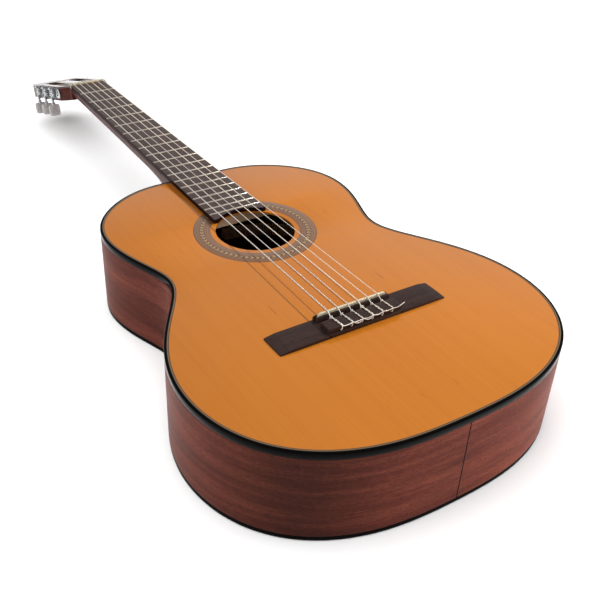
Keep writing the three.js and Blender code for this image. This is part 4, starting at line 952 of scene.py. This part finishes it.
# saddle: bone, crowned top, rounded ends
rings = []
for x in np.concatenate([np.linspace(-SADDLE_HALF, -SADDLE_HALF + 4, 8), np.linspace(-SADDLE_HALF + 6, SADDLE_HALF - 6, 9), np.linspace(SADDLE_HALF - 4, SADDLE_HALF, 8)]):
    e = min(1.0, (SADDLE_HALF - abs(x)) / 3.4)
    dz = 3.2 * (1 - math.sqrt(max(0.0, 1 - (1 - e) ** 2)))
    topz = SADDLE_TOP - dz
    ring = [(x, SADDLE_Y + SADDLE_T / 2, 3.4)]
    for a in np.linspace(0, math.pi, 11):
        ring.append((x, SADDLE_Y + SADDLE_T / 2 * math.cos(a), topz - 1.0 + 1.0 * math.sin(a)))
    ring.append((x, SADDLE_Y - SADDLE_T / 2, 3.4))
    rings.append(ring)
V, F = loft(rings)
obj_from("saddle_bone", to_m(V), F, BONE, "root", 40, replaces=("saddle",))

# ------------------------------------------------------------------ strings
SLOT_FOR = [(-1, 0, 20.5), (-1, 1, 16.0), (-1, 2, 17.2), (1, 2, 17.2), (1, 1, 16.0), (1, 0, 20.5)]


def string_obj(name, pts, r, mat, n=12, replaces=()):
    P = np.asarray(pts, float)
    s = np.concatenate([[0], np.cumsum(np.linalg.norm(np.diff(P, axis=0), axis=1))])
    rings = tube(P, r, n)
    V, F = loft(rings)
    uvv = [(si / 1000.0, k / n) for si in s for k in range(n)]
    return obj_from(name, to_m(V), F, mat, "root", 60, uv=uvv, replaces=replaces)


def helix_pair(a, b, r, turns, k, phase):
    """one of two strands twisted round the line a-b"""
    a, b = np.array(a, float), np.array(b, float)
    d = (b - a) / np.linalg.norm(b - a)
    u = np.cross(d, (0, 0, 1.0))
    u /= np.linalg.norm(u)
    v = np.cross(u, d)
    out = []
    for i in range(k + 1):
        t = i / k
        an = phase + turns * 2 * math.pi * t
        out.append(a + (b - a) * t + r * (math.cos(an) * u + math.sin(an) * v * 0.8))
    return out


for i in range(6):
    d = STRING_D[i]
    r = d / 2
    no = 6 - i
    x0, xn = xs_sad[i], xs_nut[i]
    mat = WOUND if i < 3 else NYLON
    top_z = TIE_TOP + r
    # speaking length, nut to roller, coils
    run = []
    run.append((x0, TIE_F + 0.6, TIE_TOP - 0.9))
    run.append((x0, TIE_F + 1.6, TIE_TOP - 0.3))
    run.append((x0, SADDLE_Y - SADDLE_T / 2 - 0.5, SADDLE_TOP + r - 0.35))
    run.append((x0, SADDLE_Y - 0.4, SADDLE_TOP + r + 0.0))
    run.append((x0, SADDLE_Y + 0.6, SADDLE_TOP + r + 0.0))
    run.append((x0, SADDLE_Y + 2.5, SADDLE_TOP + r - 0.03))
    A, B = np.array((x0, SADDLE_Y + 2.5, SADDLE_TOP + r - 0.03)), np.array((xn, 0.4, NUT_TOP + r + 0.10))
    for t in np.linspace(0.02, 0.98, 26):
        run.append(tuple(A + (B - A) * t))
    run += [tuple(B), (xn, 2.0, NUT_TOP + r + 0.02), (xn, 3.6, NUT_TOP + r - 0.25)]
    sx, ri, xw = SLOT_FOR[i]
    sr = ROLL_S[ri]
    wr = 4.8 + r + 0.05
    ax = sx * xw
    dirn = sx * (1 if ri == 2 else -1)
    hpts = []
    turns = 3.25
    nst = int(turns * 40)
    for k in range(nst + 1):
        t = math.pi / 2 + 0.25 - k * 2 * math.pi / 40
        hpts.append((ax + dirn * (k / 40) * (d + 0.08), sr + wr * math.cos(t), -ROLL_D + wr * math.sin(t)))
    # last bit dives into the roller's hole
    lx = hpts[-1][0]
    hp = head(np.array(hpts))
    start = np.array(run[-1])
    first = hp[0]
    for t in np.linspace(0.08, 0.97, 14):
        run.append(tuple(start + (first - start) * t))
    run += [tuple(q) for q in hp]
    string_obj(f"string_{no}_length", run, r, mat, 12, (f"string_{no}",))
    # knot, twist and tail over the tie block
    kn = []
    kn.append((x0 + 0.1, TIE_F + 0.9, 5.4))
    kn.append((x0 - r * 2.2, TIE_F + 1.0 + r, TIE_TOP - 1.4))
    kn.append((x0 - r * 1.9, TIE_F + 0.9 + r, TIE_TOP + r * 1.6))
    kn.append((x0 + r * 1.2, TIE_F + 0.4 + r * 1.3, TIE_TOP + r * 2.6))
    kn.append((x0 + r * 2.3, TIE_F + 1.3 + r, TIE_TOP + r * 0.6))
    kn.append((x0 + r * 0.9, TIE_F + 1.6 + r, TIE_TOP - 1.2))
    kn.append((x0 - r * 1.2, TIE_F + 0.9 + r, TIE_TOP - 0.2))
    kn.append((x0 - r * 0.7, TIE_F - 0.6, top_z + r * 0.8))
    xr = x0 + 1.3
    aa, bb2 = (x0, TIE_F - 1.6, top_z + r * 0.55), (xr, TIE_B + 0.6, top_z + r * 0.55)
    tw = helix_pair(aa, bb2, r * 0.95, 1.6, 26, math.pi)
    strand1 = catmull(np.array(kn + [tuple(q) for q in tw[1:]][::3]), 5)
    # the tail turns along the block's rear edge towards the next string, or ends free
    last = strand1[-1]
    if i < 5:
        tail = [last, (xr + 0.6, TIE_B - 0.3 - r * 0.5, TIE_TOP + r * 0.4), (xr + 2.5, TIE_B - 0.25 - r, TIE_TOP - 0.35), (xr + 6.5, TIE_B - 0.2 - r, TIE_TOP - 0.5 - (0.5 if i in (2, 3) else 0)),
                (xr + 10.2, TIE_B - 0.25 - r, TIE_TOP - 0.1), (xr + 11.8, TIE_B - 0.1 - r, TIE_TOP + r * 0.5)]
        if i == 3:
            tail += [(xr + 14.6, TIE_B - 0.9 - r, TIE_TOP + 0.7)]
    else:
        tail = [last, (xr + 0.6, TIE_B - 0.3 - r * 0.5, TIE_TOP + r * 0.4), (xr + 2.6, TIE_B - 0.5 - r, TIE_TOP - 0.1), (xr + 7.0, TIE_B - 0.6 - r, TIE_TOP + 0.2), (xr + 12.5, TIE_B + 0.6, TIE_TOP + 0.6), (xr + 15.0, TIE_B + 1.4, TIE_TOP + 0.9)]
    tl = catmull(np.array(tail), 6)
    string_obj(f"string_{no}_tie", np.vstack([strand1[:-1], tl]), r * 0.95, mat, 10, ())
    # second strand of the twist: loops from the hole's rear mouth up over the block
    tw2 = helix_pair(bb2, aa, r * 0.95, 1.6, 26, 0.0)
    s2 = [(x0, TIE_B + 1.5, 5.2), (x0 + 0.1, TIE_B - 0.6 - r, 5.4), (x0 + 0.6, TIE_B - 0.9 - r, 6.8), (xr - 0.2, TIE_B - 0.5 - r * 0.6, TIE_TOP - 0.1)] + [tuple(q) for q in tw2[1:-2]][::3] + [(x0 + r, TIE_F + 0.4, top_z + r * 0.3), (x0 + r * 1.6, TIE_F + 1.1 + r, TIE_TOP - 0.6), (x0 + 0.2, TIE_F + 1.3 + r, TIE_TOP - 1.3)]
    string_obj(f"string_{no}_loop", catmull(np.array(s2), 5), r * 0.95, mat, 10, ())
    # extra small loop that the tails of the middle strings leave behind the block
    if i in (1, 2):
        lp = [(xr + 1.0, TIE_B - 0.3 - r, TIE_TOP - 0.2), (xr + 3.2, TIE_B - 0.9 - r, TIE_TOP - 1.3), (xr + 6.4, TIE_B - 1.3 - r, TIE_TOP - 1.9), (xr + 9.4, TIE_B - 0.8 - r, TIE_TOP - 1.0), (xr + 11.0, TIE_B - 0.2 - r, TIE_TOP + 0.1)]
        string_obj(f"string_{no}_tail_loop", catmull(np.array(lp), 6), r * 0.85, mat, 10, ())

# ------------------------------------------------------------------ tuners
LEAD = 2 * math.pi * 5.5 / 14


def hobj(name, V, F, mat, body="root", angle=35, replaces=(), smooth=True):
    return obj_from(name, to_m(head(V)), F, mat, body, angle, replaces=replaces, smooth=smooth)


def x_disc(sx, x0, x1, s, h, prof, n=40):
    """turned piece on an axis along x at (s, h): prof [(fraction, radius)]"""
    rings = []
    t = np.arange(n) * 2 * math.pi / n
    for f, r in prof:
        x = sx * (x0 + (x1 - x0) * f)
        rings.append(np.stack([np.full(n, x), s + r * np.cos(t), h + r * np.sin(t)], 1))
    return loft(rings)


XP = HEAD_HALF + 0.1
for side_name, sx in (("bass", -1), ("treble", 1)):
    # plate: scalloped outline, one lobe for each machine
    top_, bot_ = -2.2, -17.4
    pts = []
    lobes = []
    s0, s1 = 20.5, 126.0
    up, dn = [], []
    for s in np.linspace(s0, s1, 161):
        ph = (s - 20.5) / (s1 - s0) * 3 * 2 * math.pi
        w = 0.5 - 0.5 * math.cos(ph)
        e = min(1.0, (s - s0) / 3.0, (s1 - s) / 3.0)
        round_ = math.sqrt(max(0.0, 1 - (1 - e) ** 2))
        hh = (6.3 + 1.3 * w ** 0.6) * (0.35 + 0.65 * round_)
        mid = (top_ + bot_) / 2
        up.append((s, mid + hh))
        dn.append((s, mid - hh))
    outline = [(s0 - 1.4, (top_ + bot_) / 2)] + up + [(s1 + 1.4, (top_ + bot_) / 2)] + dn[::-1]
    holes = [circ(3.25, 32, s, -ROLL_D) for s in ROLL_S]

    def place(co, sx=sx):
        return head(np.stack([sx * co[:, 2], co[:, 0], co[:, 1]], 1))
    pl = curve_plate(f"tuner_plate_skin_{side_name}", [outline] + holes, XP, XP + 1.2, 0.3, place=place, res=2)
    finish_obj(pl, CHROME, "root", 35, (f"tuner_plate_{side_name}",))
    # raised rim following the plate's edge, as a stamped border
    cen = (top_ + bot_) / 2
    loop = [(s, cen + (h - cen) * 0.86) for s, h in up[6:-6]] + [(s1 - 2.0, cen)] + [(s, cen + (h - cen) * 0.86) for s, h in dn[6:-6][::-1]] + [(s0 + 2.0, cen)]
    P = np.array([(XP + 1.2, s, h) for s, h in loop] + [(XP + 1.2, loop[0][0], loop[0][1])])
    n = 8
    m = len(P) - 1
    rings = []
    for k in range(m):
        dvec = P[(k + 1) % m] - P[k - 1]
        dvec /= np.linalg.norm(dvec)
        side_v = np.cross(dvec, (1, 0, 0))
        t = np.arange(n) * 2 * math.pi / n
        rings.append(P[k] + 0.34 * (np.cos(t)[:, None] * np.array([1.0, 0, 0]) + np.sin(t)[:, None] * side_v))
    V, F = loft(rings, closed=True)
    V = V * np.array([sx, 1, 1])
    hobj(f"tuner_plate_rim_{side_name}", V, F, CHROME, "root", 60)
    # plate screws
    for k, s in enumerate((25.0, 59.3, 94.3)):
        V, F = x_disc(sx, XP + 1.2 - 0.1, XP + 2.15, s, -9.8, [(0, 2.0), (0.45, 2.0), (0.8, 1.6), (1.0, 0.9)], 28)
        hobj(f"plate_screw_{side_name}_{k + 1}", V, F, CHROME, "root", 35)
        hh_ = -9.8
        for q in range(2):
            a, b_ = (1.5, 0.22) if q == 0 else (0.22, 1.5)
            V, F = loft([[(sx * x, s - a, hh_ - b_), (sx * x, s + a, hh_ - b_), (sx * x, s + a, hh_ + b_), (sx * x, s - a, hh_ + b_)] for x in (XP + 1.9, XP + 2.19)])
            hobj(f"plate_screw_slot_{side_name}_{k + 1}_{q + 1}", V, F, DARKM, "root", smooth=False)
    for i in range(3):
        sr, sw = ROLL_S[i], ROLL_S[i] + 8.0
        idn = f"{side_name}_{i + 1}"
        kb, rb = f"knob_{idn}", f"roller_{idn}"
        # bearing lugs
        for q, hc_ in enumerate((-ROLL_D + 6.2, -ROLL_D - 7.8)):
            rings = []
            for h in (hc_ - 1.0, hc_ - 0.8, hc_ + 0.6, hc_ + 0.8):
                e = 0.0 if h in (hc_ - 0.8, hc_ + 0.6) else 0.2
                rr = 3.4 - e
                row = [(sx * (XP + 1.0), sw - rr, h), ]
                for a in np.linspace(-math.pi / 2, math.pi / 2, 15):
                    row.append((sx * (XG + rr * math.cos(a)), sw + rr * math.sin(a), h))
                row.append((sx * (XP + 1.0), sw + rr, h))
                rings.append(row)
            V, F = loft(rings)
            lug = raw(f"lug_{idn}_{q + 1}", to_m(head(V)), F)
            V, F = loft(rod_rings(1.78, (sx * XG, sw, hc_ - 3), (sx * XG, sw, hc_ + 3), 24))
            boolean(lug, [raw("cut", to_m(head(V)), F)])
            finish_obj(lug, CHROME, "root", 35, ())
        # decorative boss ring round the gear
        V, F = [], []
        rings = []
        n = 44
        t = np.arange(n) * 2 * math.pi / n
        for k in range(n):
            c, s_ = math.cos(t[k]), math.sin(t[k])
            rings.append([(sx * (XP + 1.15), sr + 7.6 * c, -ROLL_D + 6.9 * s_), (sx * (XP + 1.75), sr + 7.3 * c, -ROLL_D + 6.6 * s_), (sx * (XP + 1.75), sr + 6.7 * c, -ROLL_D + 6.1 * s_), (sx * (XP + 1.15), sr + 6.4 * c, -ROLL_D + 5.8 * s_)])
        V, F = loft(rings, closed=True)
        hobj(f"plate_boss_{idn}", V, F, CHROME, "root", 35)
        # roller: sleeve in the slot, steel journals, gear and its screw
        n = 40
        tt = np.arange(n) * 2 * math.pi / n
        prof = [(3.6, 2.6), (4.0, 3.0), (10.0, 3.0), (10.2, 3.05), (10.25, 4.5), (10.6, 4.8), (26.5, 4.8), (26.85, 4.5), (26.9, 3.05), (27.2, 3.0), (XG - 1.7, 3.0)]
        rings = [np.stack([np.full(n, sx * x), sr + r * np.cos(tt), -ROLL_D + r * np.sin(tt)], 1) for x, r in prof]
        V, F = loft(rings)
        rl = raw(f"roller_barrel_{idn}", to_m(head(V)), F)
        hole_x = sx * (SLOT_FOR[{("bass", 0): 0, ("bass", 1): 1, ("bass", 2): 2, ("treble", 2): 3, ("treble", 1): 4, ("treble", 0): 5}[(side_name, i)]][2] + (1 if i == 2 else -1) * 3.6)
        V, F = loft(rod_rings(0.9, (hole_x, sr - 8, -ROLL_D), (hole_x, sr + 8, -ROLL_D), 16))
        boolean(rl, [raw("cut", to_m(head(V)), F)])
        finish_obj(rl, BRASS, rb, 35, (f"string_roller_{idn}",))
        # gear: 14 teeth with rounded flanks
        tooth = []
        for k in range(14):
            cang = (k + 0.5) * 2 * math.pi / 14
            st = 2 * math.pi / 14
            for r, dd in ((4.65, -0.40), (4.68, -0.30), (4.9, -0.25), (5.5, -0.165), (5.8, -0.125), (5.9, -0.07), (5.9, 0.07), (5.8, 0.125), (5.5, 0.165), (4.9, 0.25), (4.68, 0.30), (4.65, 0.40)):
                a = math.pi + cang + dd * st
                tooth.append((r * math.cos(a), r * math.sin(a)))
        rings = []
        for x, sc in ((XG - 1.3, 0.965), (XG - 1.1, 1.0), (XG + 1.1, 1.0), (XG + 1.3, 0.965)):
            rings.append([(sx * x, sr + u * sc, -ROLL_D + v * sc) for u, v in tooth])
        V, F = loft(rings)
        hobj(f"gear_wheel_{idn}", V, F, BRASS, rb, 30, (f"string_roller_{idn}",))
        V, F = x_disc(sx, XG + 1.2, XG + 2.55, sr, -ROLL_D, [(0, 2.2), (0.55, 2.2), (0.85, 1.8), (1.0, 1.1)], 32)
        scr = raw(f"gear_screw_{idn}", to_m(head(V)), F)
        V, F = loft([[(sx * x, sr - 2.6, -ROLL_D - 0.3), (sx * x, sr + 2.6, -ROLL_D - 0.3), (sx * x, sr + 2.6, -ROLL_D + 0.3), (sx * x, sr - 2.6, -ROLL_D + 0.3)] for x in (XG + 2.05, XG + 3.2)])
        boolean(scr, [raw("cut", to_m(head(V)), F)])
        finish_obj(scr, CHROME, rb, 35, ())
        # worm shaft: full thread as one surface
        na, steps = 28, 88
        zc = -ROLL_D
        L = LEAD * 22 / 6 * (5 / 6) * 1.2
        z_top, z_bot = zc + 4.5, zc - 4.5
        ta = np.arange(na) * 2 * math.pi / na
        rings = []

        def wring(z, r):
            rr = np.full(na, r) if np.isscalar(r) else r
            return np.stack([sx * XG + rr * np.cos(ta), sw + rr * np.sin(ta), np.full(na, z)], 1)
        rings += [wring(zc + 8.1, 1.3), wring(zc + 7.9, 1.6), wring(z_top + 0.4, 1.6), wring(z_top + 0.3, 1.75)]
        for k in range(steps + 1):
            z = z_top + (z_bot - z_top) * k / steps
            p = (z - zc) / LEAD - sx * (ta + math.pi / 2) / (2 * math.pi)
            p = p - np.floor(p)
            dd = np.minimum(p, 1 - p)
            hgt = np.where(dd < 0.08, 1.0, np.where(dd < 0.25, 1 - (dd - 0.08) / 0.17, 0.0))
            e = min(1.0, (z_top - z) / LEAD * 2, (z - z_bot) / LEAD * 2)
            rings.append(wring(z, 1.75 + 1.2 * hgt * max(0.0, e)))
        rings += [wring(z_bot - 0.3, 1.75), wring(z_bot - 0.4, 1.6), wring(-18.6, 1.6), wring(-18.7, 2.3), wring(-19.0, 2.55), wring(-19.7, 2.55), wring(-20.0, 2.2), wring(-20.2, 1.6), wring(-20.9, 1.6), wring(-21.1, 2.1), wring(-21.7, 2.1), wring(-21.9, 1.6),
                  wring(-22.5, 1.6), wring(-22.7, 2.3), wring(-23.1, 2.8), wring(-24.0, 2.8), wring(-24.3, 2.3), wring(-24.5, 2.3), wring(-24.7, 2.9), wring(-25.4, 3.0), wring(-25.6, 1.5), wring(-34.5, 1.5)]
        V, F = loft(rings)
        hobj(f"worm_{idn}", V, F, CHROME, kb, 40, (f"worm_shaft_{idn}",))
        # button
        nb = 44
        tb_ = np.arange(nb) * 2 * math.pi / nb
        prof = [(-25.62, 2.2, 1.8), (-25.50, 4.6, 2.3), (-25.62, 5.8, 2.9), (-26.1, 6.8, 3.45), (-27.0, 7.55, 3.9), (-28.6, 7.95, 4.15), (-31, 8.0, 4.3), (-35, 8.0, 4.3), (-38, 7.95, 4.2), (-39.8, 7.65, 3.95), (-41.0, 6.9, 3.4), (-41.7, 5.6, 2.6), (-41.98, 3.6, 1.6)]
        rings = []
        for hz, a, b_ in prof:
            c, s_ = np.cos(tb_), np.sin(tb_)
            rings.append(np.stack([sx * XG + a * np.sign(c) * np.abs(c) ** 0.7, sw + b_ * np.sign(s_) * np.abs(s_) ** 0.8, np.full(nb, hz)], 1))
        V, F = loft(rings)
        hobj(f"button_grip_{idn}", V, F, PEARL, kb, 60, (f"tuner_button_{idn}",))

# ------------------------------------------------------------------ floor, light, camera
V = np.array([(-6, -6, -0.0004), (6, -6, -0.0004), (6, 9, -0.0004), (-6, 9, -0.0004)])
me = bpy.data.meshes.new("floor")
me.from_pydata([tuple(v) for v in V], [], [(0, 1, 2, 3)])
floor = bpy.data.objects.new("floor", me)
COLL.objects.link(floor)
mf, nt, b = new_mat("floor_white")
n = noise(nt, mapping(nt, coords(nt), (3, 3, 3)), 1.0, 3.0, 0.5)
nt.links.new(ramp(nt, n, [(0.3, (0.93, 0.93, 0.93)), (0.7, (0.95, 0.95, 0.95))]), b.inputs["Base Color"])
b.inputs["Roughness"].default_value = 0.7
b.inputs["Specular IOR Level"].default_value = 0.2
me.materials.append(mf)
floor.visible_diffuse = False        # the white floor throws no light back up onto the sides

world = bpy.data.worlds.new("studio")
bpy.context.scene.world = world
world.use_nodes = True
bg = world.node_tree.nodes["Background"]
bg.inputs["Color"].default_value = (1.0, 1.0, 1.0, 1)
bg.inputs["Strength"].default_value = 0.42
bpy.context.scene.view_settings.view_transform = "Standard"
bpy.context.scene.view_settings.look = "None"


def area(name, loc, target, size, power, color=(1, 1, 1), size_y=None):
    d = bpy.data.lights.new(name, "AREA")
    d.energy = power
    d.size = size
    if size_y:
        d.shape = "RECTANGLE"
        d.size_y = size_y
    d.color = color
    o = bpy.data.objects.new(name, d)
    COLL.objects.link(o)
    o.location = loc
    o.rotation_euler = (Vector(target) - Vector(loc)).to_track_quat("-Z", "Y").to_euler()
    return o


area("overhead", (-0.6, -0.75, 2.3), (-0.1, -0.1, 0), 2.5, 5, size_y=2.5)
area("left_panel", (-2.4, -0.3, 0.9), (0, -0.2, 0.0), 1.6, 17, size_y=1.0)
area("right_panel", (2.2, -1.4, 0.9), (0, -0.3, 0.0), 1.4, 14, size_y=1.0)
side_fill = area("side_fill", (2.1, -1.9, 0.35), (0.1, -0.4, 0.05), 1.0, 230, size_y=0.6)
side_fill2 = area("side_fill_left", (-2.1, 1.1, 0.45), (-0.1, -0.1, 0.05), 1.2, 96, size_y=0.8)
# the key light is a long narrow strip on the treble side. Its mirror image is kept off the varnish: only strings and metal show it
key = area("strip_right", (3.3, 0.0, 3.0), (0, 0, 0), 5.0, 226, size_y=0.10)
key.visible_glossy = False
glint = area("strip_glint", (3.0, 0.0, 3.24), (0, 0, 0), 5.0, 150, size_y=0.30)
glint.visible_diffuse = False


def link_light(light, name, objs, state):
    c = bpy.data.collections.new(name)
    for o in objs:
        c.objects.link(o)
    light.light_linking.receiver_collection = c
    for e in c.collection_objects:
        e.light_linking.link_state = state


# the floor is kept evenly white: the narrow strip lights the guitar only, and a soft top light fills the floor
link_light(key, "strip_skips_floor", [floor], "EXCLUDE")
link_light(glint, "glint_on_metal", [o for o in bpy.data.objects if o.type == "MESH" and o.name.startswith(("string_", "fret_wire", "tuner_plate", "lug_", "plate_", "gear_", "worm_", "roller_", "saddle_bone", "nut_bone"))], "INCLUDE")
wash = area("floor_wash", (-0.2, 0.2, 2.6), (0, 0.2, 0), 4.0, 120, size_y=4.0)
link_light(wash, "floor_only", [floor], "INCLUDE")
link_light(side_fill, "fill_on_sides", [o for o in bpy.data.objects if o.type == "MESH" and o.name.startswith("side_skin")], "INCLUDE")
link_light(side_fill2, "fill_on_left_sides", [o for o in bpy.data.objects if o.type == "MESH" and o.name.startswith("side_skin")], "INCLUDE")

# camera: position and turn worked out from the photograph's perspective
f_px = 868.455785
C = np.array([-414.433368, -1173.262888, 458.98305])
rv = np.array([2.10612, -0.595094, 0.370974])
th = np.linalg.norm(rv)
k = rv / th
Kx = np.array([[0, -k[2], k[1]], [k[2], 0, -k[0]], [-k[1], k[0], 0]])
Rm = np.eye(3) + math.sin(th) * Kx + (1 - math.cos(th)) * Kx @ Kx
cam_d = bpy.data.cameras.new("camera")
cam_d.sensor_width = 36.0
cam_d.sensor_fit = "HORIZONTAL"
cam_d.lens = f_px / 600.0 * 36.0
cam_d.clip_start = 0.01
cam_d.clip_end = 50
cam = bpy.data.objects.new("camera", cam_d)
COLL.objects.link(cam)
M = Matrix.Identity(4)
pos = to_m(C)[0]
for r in range(3):
    M[r][0] = Rm[0][r]
    M[r][1] = -Rm[1][r]
    M[r][2] = -Rm[2][r]
    M[r][3] = pos[r]
cam.matrix_world = M
bpy.context.scene.camera = cam
